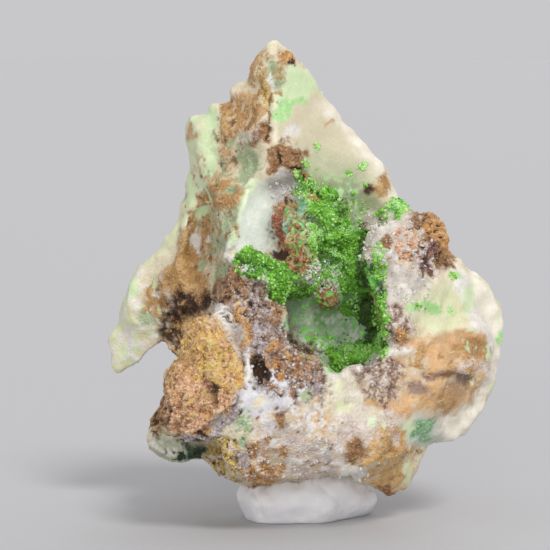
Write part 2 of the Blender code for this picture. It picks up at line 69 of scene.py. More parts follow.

# What a patch of rock looks like: dark, middle and light colour as the eye reads them, 0 to 255,
# then how granular it is, 0 to 1, how much it swells in round scallops, 0 to 2, and how milky, 0 to 1.
# The material mixes the dark and light colours partly by random tone, partly as painted shade in pits and
# sunk places and painted light on raised places.
TINTS = {
    "cream": ((186, 162, 124), (218, 207, 177), (235, 230, 212), 0.25, 0.5, 0.35),
    "ivory": ((206, 194, 174), (231, 224, 208), (244, 240, 231), 0.12, 0.8, 0.5),
    "strip": ((184, 186, 130), (216, 217, 178), (230, 232, 206), 0.12, 0.6, 0.4),
    "milk": ((192, 181, 150), (208, 199, 171), (222, 216, 197), 0.0, 0.1, 0.8),
    # The next tint is olive milky rock, darker partly as painted shade where the wall turns into the hollow.
    "olive_milk_and_shade": ((112, 124, 84), (150, 156, 120), (190, 192, 160), 0.03, 0.1, 0.7),
    "pearl": ((168, 178, 164), (200, 205, 193), (218, 222, 211), 0.03, 0.15, 0.8),
    "glass": ((140, 135, 130), (184, 179, 174), (216, 212, 209), 0.2, 0.3, 0.6),
    "vug_glass": ((100, 128, 96), (146, 168, 136), (188, 202, 176), 0.06, 0.2, 0.7),
    "sage": ((122, 144, 104), (170, 182, 144), (204, 212, 182), 0.4, 0.4, 0.2),
    "mint": ((170, 194, 144), (203, 221, 176), (223, 235, 205), 0.1, 0.3, 0.5),
    "bright_mint": ((134, 190, 108), (166, 214, 140), (204, 232, 184), 0.25, 0.3, 0.4),
    "vug_milk": ((148, 154, 116), (178, 180, 148), (204, 204, 180), 0.0, 0.1, 0.7),
    "green": ((54, 128, 40), (98, 186, 66), (158, 220, 122), 0.5, 0.6, 0.1),
    # The next tint is deep green, darkened as painted shade where it fills the cleft beside the knob.
    "deep_green_and_shade": ((20, 52, 18), (46, 96, 36), (84, 140, 60), 0.5, 0.5, 0.0),
    # The next tint is near-black green, partly painted shade in the gap under the lobe and on the foot's
    # lump.
    "dark_foot": ((12, 24, 16), (32, 52, 34), (70, 98, 68), 0.6, 0.5, 0.0),
    "teal": ((56, 112, 78), (116, 170, 134), (184, 214, 190), 0.6, 0.4, 0.1),
    "sea_green": ((88, 140, 92), (146, 194, 142), (200, 226, 194), 0.5, 0.4, 0.2),
    "blue_white": ((168, 166, 172), (205, 203, 207), (230, 229, 232), 0.15, 0.3, 0.5),
    "ochre": ((142, 96, 50), (222, 176, 98), (245, 216, 152), 0.9, 0.3, 0.0),
    "olive_ochre": ((132, 104, 56), (208, 174, 98), (236, 214, 146), 0.9, 0.3, 0.0),
    "pink_ochre": ((138, 92, 68), (218, 168, 130), (244, 210, 178), 0.9, 0.3, 0.0),
    "soft_ochre": ((174, 128, 72), (210, 168, 106), (230, 200, 150), 0.4, 0.4, 0.1),
    "orange": ((140, 92, 50), (196, 144, 88), (226, 184, 128), 0.8, 0.3, 0.0),
    "flank_brown": ((128, 90, 52), (174, 132, 80), (212, 178, 128), 0.4, 0.4, 0.0),
    "far_ochre": ((140, 100, 56), (196, 152, 92), (222, 188, 132), 0.75, 0.3, 0.0),
    "lime": ((70, 160, 40), (112, 208, 72), (164, 232, 124), 0.4, 0.5, 0.2),
    "rust": ((92, 62, 40), (148, 108, 72), (190, 152, 112), 0.7, 0.4, 0.0),
    # The next tint is dark brown rock, used also as painted shade in recesses, holes, clefts, grooves and
    # pits.
    "umber_and_shade": ((36, 24, 18), (70, 48, 34), (108, 78, 54), 0.6, 0.3, 0.0),
    "nodule": ((84, 54, 34), (158, 112, 76), (204, 162, 120), 0.75, 0.7, 0.0),
    "grey_brown": ((92, 72, 66), (150, 124, 108), (196, 176, 164), 0.85, 0.3, 0.0),
    "foot_white": ((178, 164, 144), (212, 203, 186), (232, 228, 217), 0.3, 0.5, 0.3),
    "foot_pale": ((132, 138, 112), (182, 184, 156), (210, 212, 190), 0.35, 0.4, 0.2),
    "red": ((96, 50, 38), (150, 92, 70), (196, 140, 114), 0.8, 0.7, 0.0),
    "tan": ((156, 116, 82), (194, 157, 117), (216, 188, 150), 0.3, 0.3, 0.1),
    "light_orange": ((178, 128, 82), (208, 165, 116), (226, 194, 150), 0.25, 0.3, 0.1),
    "pale_tan": ((176, 150, 122), (202, 182, 154), (220, 206, 184), 0.2, 0.3, 0.2),
    "mauve": ((112, 88, 78), (154, 126, 110), (190, 168, 152), 0.4, 0.3, 0.0),
    "purple": ((66, 38, 36), (110, 74, 66), (170, 124, 112), 0.75, 0.4, 0.0),
    "lilac": ((112, 94, 92), (168, 154, 152), (216, 208, 206), 0.8, 0.3, 0.1),
    "pink_white": ((182, 158, 144), (212, 194, 182), (234, 224, 216), 0.5, 0.3, 0.3),
    "white": ((200, 194, 184), (222, 216, 208), (238, 235, 230), 0.25, 0.2, 0.4),
    "sugar": ((164, 150, 136), (206, 198, 186), (236, 232, 224), 0.18, 1.7, 0.7),
}
GROUND_TINT = "cream"

# Patches of the seen side in painting order: name, tint, how soft the edge is, and the outline.
OUTLINES = [
    ("right_rim", "ivory", 0.8, [(14.4, 26.5), (16.0, 26.5), (17.9, 25.5), (19.6, 23.7), (20.8, 21.7),
     (21.4, 19.2), (21.0, 16.0), (20.2, 13.5), (18.8, 11.4), (17.4, 9.0), (15.0, 7.5), (14.2, 9.1),
     (14.8, 11.2), (16.4, 12.9), (18.2, 14.9), (18.8, 17.5), (18.2, 19.7), (16.9, 22.2), (15.4, 24.2)]),
    ("wall", "milk", 1.2, [(-2.4, 40.9), (-1.0, 43.0), (0.4, 44.4), (2.4, 45.6), (4.2, 42.5), (6.2, 40.4),
     (8.6, 37.5), (10.4, 33.9), (11.0, 31.6), (7.9, 31.0), (6.6, 29.0), (4.9, 30.0), (2.9, 31.6),
     (1.4, 32.8), (0.0, 34.2), (0.2, 36.7), (-1.3, 38.9), (-2.4, 39.5)]),
    ("wall_shade", "vug_milk", 3.0, [(0.4, 37.4), (3.4, 37.6), (6.6, 36.4), (8.4, 34.0), (7.9, 31.4),
     (6.6, 28.6), (4.9, 29.5), (1.4, 32.6)]),
    # wall_foot: greenish milky rock with painted shade where the wall turns into the hollow.
    ("wall_foot", "olive_milk_and_shade", 2.2, [(1.6, 34.8), (5.0, 35.2), (7.4, 33.8), (7.9, 31.4), (6.6, 28.6),
     (4.9, 29.5), (2.9, 31.6)]),
    # wall_edge: milky rim, partly a painted light where the thin edge glows.
    ("wall_edge", "ivory", 1.6, [(3.2, 42.8), (5.5, 40.4), (8.4, 37.6), (10.2, 33.4), (9.0, 33.4),
     (7.2, 37.0), (4.6, 39.6), (2.6, 42.2)]),
    ("crest_mint", "mint", 0.9, [(-0.6, 45.9), (1.6, 46.3), (2.4, 44.9), (1.6, 43.5), (0.4, 42.7),
     (-1.1, 41.5), (-1.8, 40.7), (-1.9, 42.2), (-1.3, 43.9)]),
    ("peak_brown", "orange", 0.5, [(-1.8, 47.9), (-0.7, 47.9), (0.2, 46.6), (-0.2, 45.9), (-1.3, 46.1),
     (-2.0, 46.9)]),
    ("peak_left_brown", "flank_brown", 0.6, [(-4.2, 47.2), (-3.2, 47.4), (-3.2, 46.2), (-3.8, 44.8),
     (-4.2, 44.2), (-4.9, 45.2), (-4.6, 46.4)]),
    ("peak_sage", "sage", 0.6, [(-3.0, 46.6), (-1.6, 46.0), (-1.0, 45.2), (-1.4, 44.0), (-2.2, 43.8),
     (-2.9, 44.8)]),
    ("peak_olive", "olive_ochre", 0.6, [(-3.6, 45.2), (-2.8, 45.0), (-2.4, 43.6), (-2.4, 42.3),
     (-3.2, 42.2), (-3.7, 43.4)]),
    ("shoulder_brown", "flank_brown", 0.7, [(-7.6, 42.2), (-5.2, 43.4), (-3.8, 42.6), (-3.4, 41.2),
     (-4.4, 40.0), (-5.6, 39.4), (-6.4, 37.6), (-6.9, 35.4), (-7.8, 35.6), (-7.6, 38.4), (-7.9, 40.6)]),
    ("shoulder_brown_right", "rust", 0.6, [(-4.6, 39.4), (-3.6, 40.3), (-2.6, 40.2), (-2.5, 38.8),
     (-3.8, 38.2), (-5.0, 37.6), (-5.6, 38.2)]),
    ("shoulder_white", "pink_white", 0.5, [(-5.5, 38.4), (-4.8, 39.4), (-4.1, 39.6), (-4.0, 38.8),
     (-4.9, 37.9), (-5.6, 37.7)]),
    ("shoulder_strip", "strip", 0.9, [(-10.6, 41.6), (-8.6, 42.4), (-8.0, 40.6), (-8.0, 37.0), (-8.6, 33.4),
     (-9.8, 31.0), (-11.4, 29.0), (-13.4, 27.6), (-15.0, 26.2), (-17.6, 22.4), (-16.0, 20.6),
     (-15.2, 19.0), (-16.2, 16.0), (-17.2, 14.2), (-19.4, 14.6), (-19.2, 20.0), (-17.4, 25.6),
     (-14.2, 28.6), (-12.0, 33.4), (-11.6, 40.4)]),
    ("shoulder_mint", "mint", 0.8, [(-9.2, 42.0), (-8.4, 42.0), (-8.0, 40.0), (-8.4, 37.6), (-8.6, 35.4),
     (-9.2, 35.6), (-9.4, 38.4)]),
    ("crest_sage", "sage", 0.8, [(-6.0, 37.4), (-4.4, 37.8), (-3.4, 37.0), (-3.8, 35.8), (-5.2, 34.8),
     (-6.2, 35.4)]),
    ("flank_upper_brown", "flank_brown", 0.6, [(-9.8, 33.2), (-8.6, 34.8), (-6.6, 35.2), (-5.3, 34.2),
     (-5.2, 32.0), (-6.1, 31.2), (-7.8, 31.7), (-9.3, 31.1)]),
    ("flank_sage", "sage", 0.9, [(-8.8, 31.4), (-7.0, 31.8), (-5.6, 32.6), (-5.4, 30.8), (-6.6, 28.6),
     (-7.4, 27.6), (-9.0, 26.6), (-9.4, 28.6)]),
    ("flank_left_brown", "flank_brown", 0.7, [(-10.6, 32.2), (-8.9, 32.2), (-8.3, 29.4), (-8.6, 26.8),
     (-9.4, 24.8), (-12.6, 24.4), (-13.4, 25.4), (-12.2, 27.4), (-11.0, 29.6)]),
    ("flank_reddish", "flank_brown", 0.9, [(-15.2, 23.6), (-13.6, 25.2), (-11.6, 25.6), (-8.9, 25.2),
     (-8.6, 22.6), (-10.6, 21.2), (-13.1, 20.4), (-14.8, 21.4)]),
    # flank_recess: brown rock with painted shade in the deep recess under the wing.
    ("flank_recess", "umber_and_shade", 0.9, [(-13.1, 22.7), (-11.1, 23.3), (-9.0, 23.7), (-8.0, 23.0), (-8.4, 21.4),
     (-10.0, 20.0), (-10.6, 18.4), (-11.2, 16.9), (-13.0, 16.4), (-13.8, 19.2)]),
    ("crest_nodule", "rust", 0.4, [(-2.9, 36.7), (-2.2, 38.5), (-1.2, 39.0), (-0.4, 38.1), (0.7, 37.7),
     (0.7, 36.2), (1.2, 34.9), (0.4, 34.3), (-0.8, 35.4), (-2.0, 35.1), (-3.0, 35.6)]),
    ("under_nodule", "glass", 0.5, [(-3.0, 34.7), (-1.6, 35.2), (0.2, 34.8), (1.0, 33.5), (0.4, 32.3),
     (-1.1, 31.9), (-2.4, 32.2), (-2.9, 33.5)]),
    ("lens", "pearl", 0.5, [(-4.6, 34.9), (-3.0, 34.7), (-2.6, 33.0), (-2.2, 31.4), (-1.9, 29.2),
     (-1.9, 27.3), (-2.8, 26.3), (-5.5, 27.0), (-6.8, 28.2), (-6.2, 29.9), (-5.3, 32.2)]),
    ("lens_edge", "mint", 0.7, [(-5.0, 34.7), (-4.3, 34.7), (-5.0, 31.8), (-5.9, 29.6), (-6.3, 28.4),
     (-6.9, 28.4), (-6.2, 30.4)]),
    ("lip_mint", "mint", 0.7, [(-2.8, 25.4), (-1.4, 25.2), (-0.7, 24.2), (-0.8, 23.0), (-2.2, 22.9),
     (-2.8, 23.8)]),
    ("lip_green", "green", 0.7, [(-6.2, 26.6), (-5.0, 26.8), (-3.2, 26.3), (-2.4, 25.4), (-1.6, 24.9),
     (-2.2, 24.2), (-3.4, 24.7), (-4.6, 25.2), (-5.8, 26.0)]),
    ("chip", "white", 0.3, [(-7.5, 28.0), (-6.0, 28.2), (-5.4, 27.5), (-5.8, 26.5), (-7.0, 26.8)]),
    ("hollow", "vug_glass", 0.9, [(-1.3, 23.2), (0.4, 24.4), (2.4, 25.4), (4.9, 25.0), (6.8, 23.4),
     (8.2, 20.7), (9.0, 18.2), (6.9, 16.3), (4.9, 15.5), (3.4, 15.3), (2.2, 16.7), (0.9, 17.7),
     (-0.6, 19.0), (-1.4, 21.0)]),
    # hollow_right: green crystals darkened as painted shade in the cleft beside the knob.
    ("hollow_right", "deep_green_and_shade", 0.8, [(6.2, 28.8), (7.2, 28.6), (8.6, 25.2), (9.2, 22.4), (8.4, 20.4),
     (9.4, 18.4), (8.2, 17.2), (6.6, 18.4), (6.6, 21.4), (6.0, 24.4)]),
    ("hollow_foot", "green", 0.6, [(3.2, 17.0), (4.8, 17.9), (6.4, 18.6), (8.4, 18.6), (9.8, 18.2),
     (9.0, 17.4), (6.9, 16.5), (4.9, 15.7), (3.4, 15.6)]),
    ("green_band", "green", 0.9, [(0.2, 34.7), (2.0, 34.3), (3.9, 32.4), (5.4, 30.2), (6.9, 27.7),
     (7.6, 23.7), (5.4, 23.2), (3.9, 25.0), (2.4, 26.4), (2.0, 28.6), (1.4, 30.6), (0.6, 32.6)]),
    ("nodules", "nodule", 0.4, [(-2.3, 32.1), (-0.6, 32.5), (0.8, 32.0), (1.7, 30.2), (2.1, 28.2),
     (2.1, 26.5), (1.3, 25.0), (-0.2, 24.6), (-1.8, 25.2), (-2.2, 26.5), (-1.4, 27.2), (-2.0, 28.7),
     (-2.5, 30.5)]),
    ("floor_nodule", "rust", 0.4, [(1.2, 24.2), (2.4, 25.0), (4.2, 24.9), (4.7, 23.5), (4.2, 22.2),
     (2.9, 21.4), (1.8, 22.1)]),
    ("knob_edge", "sugar", 0.6, [(6.2, 30.5), (7.7, 31.7), (9.6, 32.1), (11.8, 31.6), (10.6, 29.7),
     (10.2, 28.2), (10.4, 26.5), (11.8, 25.4), (13.2, 24.4), (14.2, 22.9), (13.2, 21.9), (10.9, 21.7),
     (9.4, 22.3), (9.0, 24.0), (8.2, 25.3), (7.0, 26.7), (6.4, 28.7)]),
    ("knob_middle", "pink_ochre", 0.6, [(9.9, 29.8), (11.4, 30.2), (12.4, 29.6), (12.6, 27.8), (11.6, 26.4),
     (10.2, 26.8), (9.8, 28.4)]),
    ("knob_cap", "rust", 0.5, [(11.4, 31.7), (12.9, 32.0), (14.4, 31.2), (15.6, 29.5), (16.4, 27.3),
     (15.6, 26.0), (14.4, 25.9), (14.0, 26.3), (12.9, 25.3), (12.2, 26.5), (11.8, 27.7), (12.1, 29.2),
     (11.2, 30.4)]),
    # knob_orange: the cap's orange, partly a painted light on its upper right where the key lamp falls.
    ("knob_orange", "orange", 0.7, [(13.2, 31.6), (14.6, 30.8), (15.8, 28.8), (16.0, 27.0), (14.8, 27.0),
     (14.2, 28.8), (12.8, 29.8)]),
    ("knob_purple", "purple", 0.5, [(12.6, 28.2), (13.9, 28.7), (14.3, 26.5), (13.7, 24.7), (12.6, 25.2),
     (12.2, 26.8)]),
    ("right_of_vug", "grey_brown", 0.6, [(8.4, 20.9), (9.2, 22.1), (10.4, 22.4), (11.5, 21.4), (11.7, 19.2),
     (10.6, 18.1), (9.2, 18.4), (8.5, 19.4)]),
    ("under_knob_pale", "strip", 1.0, [(11.2, 22.6), (14.4, 24.4), (15.8, 24.0), (17.0, 21.4), (16.2, 19.6),
     (13.0, 20.0), (11.4, 20.4)]),
    ("block", "tan", 0.8, [(6.0, 15.9), (7.6, 16.9), (10.0, 17.5), (11.9, 18.4), (13.4, 19.6),
     (15.9, 20.0), (17.8, 19.2), (18.9, 17.5), (19.0, 15.3), (18.0, 13.3), (16.6, 11.7), (15.2, 10.9),
     (13.4, 11.3), (10.9, 10.9), (8.9, 11.3), (6.9, 11.7), (5.9, 13.5)]),
    ("block_orange", "light_orange", 0.9, [(12.4, 18.8), (15.6, 19.4), (15.0, 17.4), (14.8, 15.6),
     (13.4, 15.4), (12.8, 16.6)]),
    ("block_pale", "pale_tan", 0.7, [(10.8, 18.0), (12.2, 18.6), (13.2, 17.0), (13.4, 15.2), (11.6, 15.0),
     (10.9, 16.2)]),
    ("block_mauve", "grey_brown", 0.6, [(5.7, 16.3), (7.8, 17.1), (9.9, 17.2), (10.9, 15.8), (10.5, 13.8),
     (9.4, 12.4), (8.0, 12.0), (6.4, 12.7), (5.7, 14.2)]),
    ("block_brown", "flank_brown", 0.6, [(15.6, 17.9), (16.4, 19.4), (17.4, 19.5), (18.4, 18.8),
     (19.3, 17.4), (18.8, 16.9), (17.0, 16.9), (15.8, 17.2)]),
    ("block_white", "pink_white", 0.5, [(16.4, 16.6), (18.2, 16.9), (19.2, 16.6), (19.0, 15.2),
     (17.4, 15.0), (16.4, 15.4)]),
    ("block_lower_orange", "light_orange", 0.6, [(9.9, 13.6), (11.4, 13.2), (13.4, 12.9), (13.2, 11.6),
     (11.6, 11.1), (10.0, 11.3)]),
    ("pale_foot", "foot_white", 0.9, [(3.4, 15.6), (4.9, 16.0), (6.1, 14.9), (6.4, 12.7), (7.4, 11.4),
     (9.6, 11.2), (11.6, 10.8), (12.2, 8.6), (10.4, 8.4), (8.2, 8.8), (5.6, 8.8), (4.2, 10.0),
     (3.4, 12.2), (3.0, 13.9)]),
    ("lower_glass", "pearl", 0.8, [(11.8, 11.2), (13.6, 11.8), (14.8, 11.0), (14.6, 8.8), (13.0, 8.0),
     (11.6, 8.6)]),
    ("lower_mint", "sea_green", 0.6, [(12.0, 10.6), (13.6, 10.8), (14.2, 9.6), (13.2, 8.6), (12.0, 8.9)]),
    ("toe", "soft_ochre", 0.8, [(7.4, 9.6), (9.2, 10.6), (10.9, 10.1), (11.6, 8.0), (12.0, 5.6),
     (10.8, 3.8), (9.4, 2.2), (7.6, 3.2), (6.6, 5.0), (7.0, 7.4)]),
    ("toe_ochre", "flank_brown", 0.6, [(8.2, 9.8), (9.2, 10.3), (10.6, 9.7), (10.7, 7.7), (9.6, 6.7),
     (8.4, 7.5)]),
    ("ridge_side", "sage", 0.5, [(-8.4, 26.5), (-7.4, 27.1), (-6.3, 26.3), (-6.8, 24.7), (-8.0, 23.5),
     (-8.6, 24.7)]),
    ("ridge_brown", "rust", 0.4, [(-8.5, 23.5), (-7.4, 25.2), (-6.1, 26.3), (-4.8, 25.2), (-4.2, 23.7),
     (-4.9, 22.2), (-6.6, 22.0), (-8.3, 22.2)]),
    ("ridge_mauve", "grey_brown", 0.4, [(-4.8, 24.4), (-3.2, 24.2), (-2.5, 22.9), (-2.7, 20.5), (-3.2, 19.3),
     (-4.4, 19.5), (-4.8, 21.5)]),
    ("ridge_right", "nodule", 0.4, [(-2.7, 22.8), (-1.3, 22.8), (-1.2, 20.3), (-1.8, 19.4), (-2.7, 19.9)]),
    ("lilac_face", "lilac", 0.6, [(-6.6, 20.6), (-5.2, 20.0), (-4.4, 20.2), (-2.8, 20.3), (-1.2, 20.2),
     (0.2, 18.2), (1.9, 17.7), (2.6, 15.8), (2.9, 13.6), (2.4, 12.0), (1.4, 10.4), (-1.0, 11.0),
     (-3.2, 10.4), (-5.0, 11.4), (-5.6, 13.4), (-5.4, 16.2), (-6.2, 18.4)]),
    ("orange_seam", "orange", 0.4, [(-6.0, 21.7), (-4.8, 22.1), (-4.4, 20.2), (-4.5, 18.5), (-5.4, 18.2),
     (-5.9, 19.9)]),
    ("brown_middle", "orange", 0.4, [(-2.9, 17.7), (-1.6, 18.2), (-0.5, 17.4), (-0.3, 15.2), (-1.4, 14.2),
     (-2.7, 14.9)]),
    ("brown_block", "nodule", 0.4, [(-0.3, 17.8), (0.8, 18.1), (1.8, 17.5), (1.9, 15.4), (0.9, 14.5),
     (-0.2, 15.0)]),
    ("white_heart", "blue_white", 0.6, [(-5.3, 13.2), (-4.4, 14.2), (-2.8, 13.9), (-1.5, 12.8), (-1.5, 11.0),
     (-2.4, 10.0), (-4.0, 10.7), (-5.1, 11.9)]),
    ("lower_pink", "pink_white", 0.8, [(-4.0, 10.4), (-1.6, 10.4), (0.4, 12.2), (2.2, 12.4), (3.6, 10.4),
     (5.2, 9.0), (4.8, 6.4), (4.2, 4.4), (0.4, 3.8), (-2.6, 4.4), (-3.6, 7.2)]),
    ("lower_ochre", "orange", 0.7, [(-4.6, 8.7), (-2.6, 8.9), (-1.2, 7.6), (-0.8, 5.6), (-2.4, 4.2),
     (-4.6, 3.6), (-5.4, 5.4), (-5.0, 7.0)]),
    ("lower_olive", "olive_ochre", 0.7, [(-9.4, 8.3), (-8.1, 8.9), (-6.0, 8.7), (-5.0, 7.8), (-5.4, 5.6),
     (-5.6, 4.0), (-6.8, 4.1), (-8.6, 5.8)]),
    ("lower_white", "lilac", 0.5, [(-6.2, 7.6), (-4.6, 7.8), (-4.0, 6.6), (-4.6, 5.4), (-5.8, 5.6)]),
    ("lobe", "ochre", 0.5, [(-9.4, 21.0), (-8.2, 20.2), (-6.8, 19.9), (-5.8, 18.2), (-5.3, 16.2),
     (-5.1, 14.2), (-5.5, 12.4), (-6.8, 12.6), (-7.4, 11.6), (-8.0, 10.0), (-9.6, 9.2), (-11.5, 8.8),
     (-13.0, 9.4), (-14.2, 12.1), (-14.0, 13.6), (-12.8, 16.4), (-12.0, 17.6), (-11.4, 19.0),
     (-11.4, 20.2)]),
    ("lobe_foot", "pink_ochre", 0.8, [(-13.0, 15.5), (-10.8, 15.2), (-9.1, 14.7), (-7.6, 13.7),
     (-6.0, 13.0), (-6.4, 11.9), (-8.0, 10.4), (-10.0, 9.5), (-11.5, 8.9), (-13.0, 9.5), (-14.2, 12.2)]),
    ("lobe_heart", "olive_ochre", 0.8, [(-8.8, 18.4), (-6.8, 18.2), (-6.2, 16.4), (-7.6, 15.2),
     (-9.4, 16.0)]),
    ("lobe_shade", "flank_brown", 0.7, [(-12.6, 16.6), (-11.2, 17.2), (-10.0, 16.4), (-10.4, 15.4),
     (-12.4, 15.2)]),
    ("flake", "white", 0.3, [(-8.3, 22.3), (-7.4, 22.5), (-6.2, 22.1), (-6.1, 20.9), (-6.7, 19.8),
     (-7.4, 20.4), (-8.0, 21.3)]),
    ("flake_foot", "glass", 0.4, [(-6.8, 20.2), (-6.0, 20.6), (-5.3, 19.2), (-5.2, 17.6), (-6.0, 17.4),
     (-6.6, 18.7)]),
    ("left_foot", "rust", 0.6, [(-15.4, 14.1), (-13.8, 15.2), (-13.1, 13.5), (-13.0, 11.5), (-12.4, 9.7),
     (-13.6, 9.3), (-15.2, 10.5)]),
    ("foot_lump", "foot_pale", 0.5, [(-15.0, 8.9), (-13.6, 10.1), (-12.0, 9.6), (-10.9, 8.2), (-10.7, 6.3),
     (-11.8, 5.2), (-13.4, 5.4), (-15.0, 7.0)]),
    # foot_green_and_shade: dark green crystals with painted shade in the gap under the lobe.
    ("foot_green_and_shade", "dark_foot", 0.7, [(-11.4, 8.8), (-9.8, 8.8), (-9.0, 7.8), (-9.4, 6.6), (-11.0, 6.5)]),
    # lower_left_dark: painted shade low on the rock, just above the floor.
    ("lower_left_dark", "umber_and_shade", 0.5, [(-8.0, 4.8), (-6.6, 4.4), (-5.2, 3.8), (-5.4, 2.6), (-8.4, 3.4)]),
]

# Small patches: name, tint, centre (across, up), radii (across, up).
SPOTS = [
    # peak_dark: dark brown, painted shade in a dark pit at the peak.
    ("peak_dark", "umber_and_shade", (-0.5, 46.2), (0.45, 0.35)),
    ("peak_white", "white", (-2.1, 44.3), (0.3, 0.7)),
    # peak_hole: dark brown, painted shade in a hole.
    ("peak_hole", "umber_and_shade", (-2.4, 42.5), (0.3, 0.45)),
    ("shoulder_tip", "tan", (-10.5, 39.4), (0.5, 0.6)),
    ("wall_white", "white", (-0.6, 39.5), (0.6, 0.8)),
    ("wall_dot", "tan", (3.4, 40.5), (0.45, 0.3)),
    # edge_brown: dark brown, partly painted shade at the wall's edge.
    ("edge_brown", "umber_and_shade", (7.6, 33.7), (0.7, 0.6)),
    ("edge_tan", "flank_brown", (8.8, 34.4), (0.7, 1.4)),
    ("edge_green", "green", (10.0, 31.9), (1.2, 0.8)),
    ("crest_fringe", "cream", (-3.6, 35.2), (0.9, 0.7)),
    # crest_cleft and crest_cleft_right: dark brown, painted shade in the clefts by the crest nodule.
    ("crest_cleft", "umber_and_shade", (-1.4, 36.8), (0.3, 1.0)),
    ("crest_cleft_right", "umber_and_shade", (0.3, 35.5), (0.6, 0.3)),
    ("nodule_red", "red", (-1.5, 29.9), (0.8, 1.9)),
    ("nodule_teal", "teal", (-0.9, 30.1), (0.35, 0.8)),
    # nodule_void: dark brown, painted shade in the hollow among the nodules.
    ("nodule_void", "umber_and_shade", (-1.4, 27.4), (0.7, 0.5)),
    ("nodule_mint", "teal", (0.4, 31.8), (0.7, 0.7)),
    ("band_orange", "orange", (2.4, 32.7), (0.9, 0.6)),
    ("teal_crystals", "teal", (3.4, 26.1), (0.8, 0.6)),
    ("knob_dot", "rust", (9.0, 28.7), (0.6, 0.5)),
    ("knob_pink", "pink_white", (14.0, 25.6), (0.3, 1.0)),
    ("knob_green", "bright_mint", (12.8, 21.9), (1.3, 0.5)),
    ("rim_green_top", "bright_mint", (15.6, 25.0), (0.5, 0.4)),
    ("rim_green_side", "bright_mint", (15.3, 21.5), (0.3, 0.3)),
    ("rim_green_edge", "bright_mint", (20.6, 19.0), (0.5, 0.7)),
    ("beside_vug_orange", "orange", (10.6, 19.2), (0.9, 0.7)),
    ("rim_green_low", "mint", (17.0, 22.8), (0.5, 1.4)),
    ("block_spot", "flank_brown", (7.4, 12.5), (1.1, 0.6)),
    ("block_shade", "mauve", (12.1, 14.0), (1.1, 0.6)),
    ("block_shade_right", "flank_brown", (15.2, 12.8), (1.1, 1.0)),
    ("block_edge", "light_orange", (17.5, 19.2), (1.0, 0.3)),
    ("block_grey", "pale_tan", (13.6, 11.3), (0.8, 0.7)),
    ("foot_mint_right", "mint", (11.4, 9.9), (0.5, 0.8)),
    ("bump_dot", "rust", (12.4, 7.5), (0.4, 0.3)),
    ("toe_olive", "strip", (11.2, 5.4), (0.7, 1.8)),
    ("toe_brown", "rust", (9.0, 3.3), (0.9, 0.8)),
    ("foot_brown", "rust", (6.0, 7.6), (1.3, 1.2)),
    ("foot_white", "white", (5.7, 5.2), (1.4, 0.8)),
    ("flank_white", "white", (-9.6, 28.4), (0.4, 1.0)),
    ("flank_green", "sage", (-9.4, 26.2), (0.6, 0.5)),
    ("wing_green", "mint", (-16.4, 24.0), (0.5, 1.2)),
    ("wing_sage", "sage", (-14.8, 20.8), (0.8, 0.8)),
    # slot_dark: dark brown, painted shade in the slot.
    ("slot_dark", "umber_and_shade", (-3.5, 16.1), (0.45, 1.3)),
    ("brown_low", "rust", (-1.6, 10.8), (0.7, 0.9)),
    ("heart_yellow", "cream", (-3.6, 12.4), (0.6, 0.6)),
    # small_hole: dark brown, painted shade in a small hole.
    ("small_hole", "umber_and_shade", (-5.6, 11.3), (0.3, 0.3)),
    ("lobe_blue", "glass", (-8.2, 10.3), (0.8, 0.5)),
    # lobe_dark and lobe_groove: dark brown, painted shade in a pit and in the lobe's groove.
    ("lobe_dark", "umber_and_shade", (-9.5, 9.4), (0.6, 0.4)),
    ("lobe_groove", "umber_and_shade", (-8.6, 13.6), (0.4, 1.3)),
]

# Strokes: name, tint, half width, points (across, up).
STROKES = [
    ("crest_streak", "bright_mint", 0.28, [(-1.9, 41.0), (-0.1, 42.3), (0.9, 42.9)]),
    ("crest_line", "rust", 0.14, [(-2.3, 43.4), (-2.4, 41.6), (-2.7, 39.4)]),
    ("block_crack", "rust", 0.12, [(9.6, 14.6), (9.4, 12.8), (9.2, 11.8)]),
    ("block_ledge", "mauve", 0.3, [(13.0, 15.2), (15.4, 15.0), (17.8, 14.7)]),
    ("vug_lip", "white", 0.35, [(4.2, 15.5), (6.9, 16.6), (8.9, 17.5), (11.2, 17.8)]),
    ("front_lip", "white", 0.22, [(-6.3, 26.6), (-4.9, 25.2), (-3.0, 24.4), (-2.5, 23.6), (-1.2, 22.8)]),
    ("slot_rim", "white", 0.3, [(-4.9, 14.9), (-4.6, 15.8), (-4.3, 16.6), (-4.4, 17.6)]),
    ("rim_ridge", "white", 0.5, [(15.8, 24.9), (17.4, 21.9), (19.2, 18.2)]),
    ("lobe_teal", "lilac", 0.45, [(-11.0, 9.3), (-9.4, 8.9), (-8.0, 9.4), (-6.4, 10.6), (-5.7, 12.6)]),
]

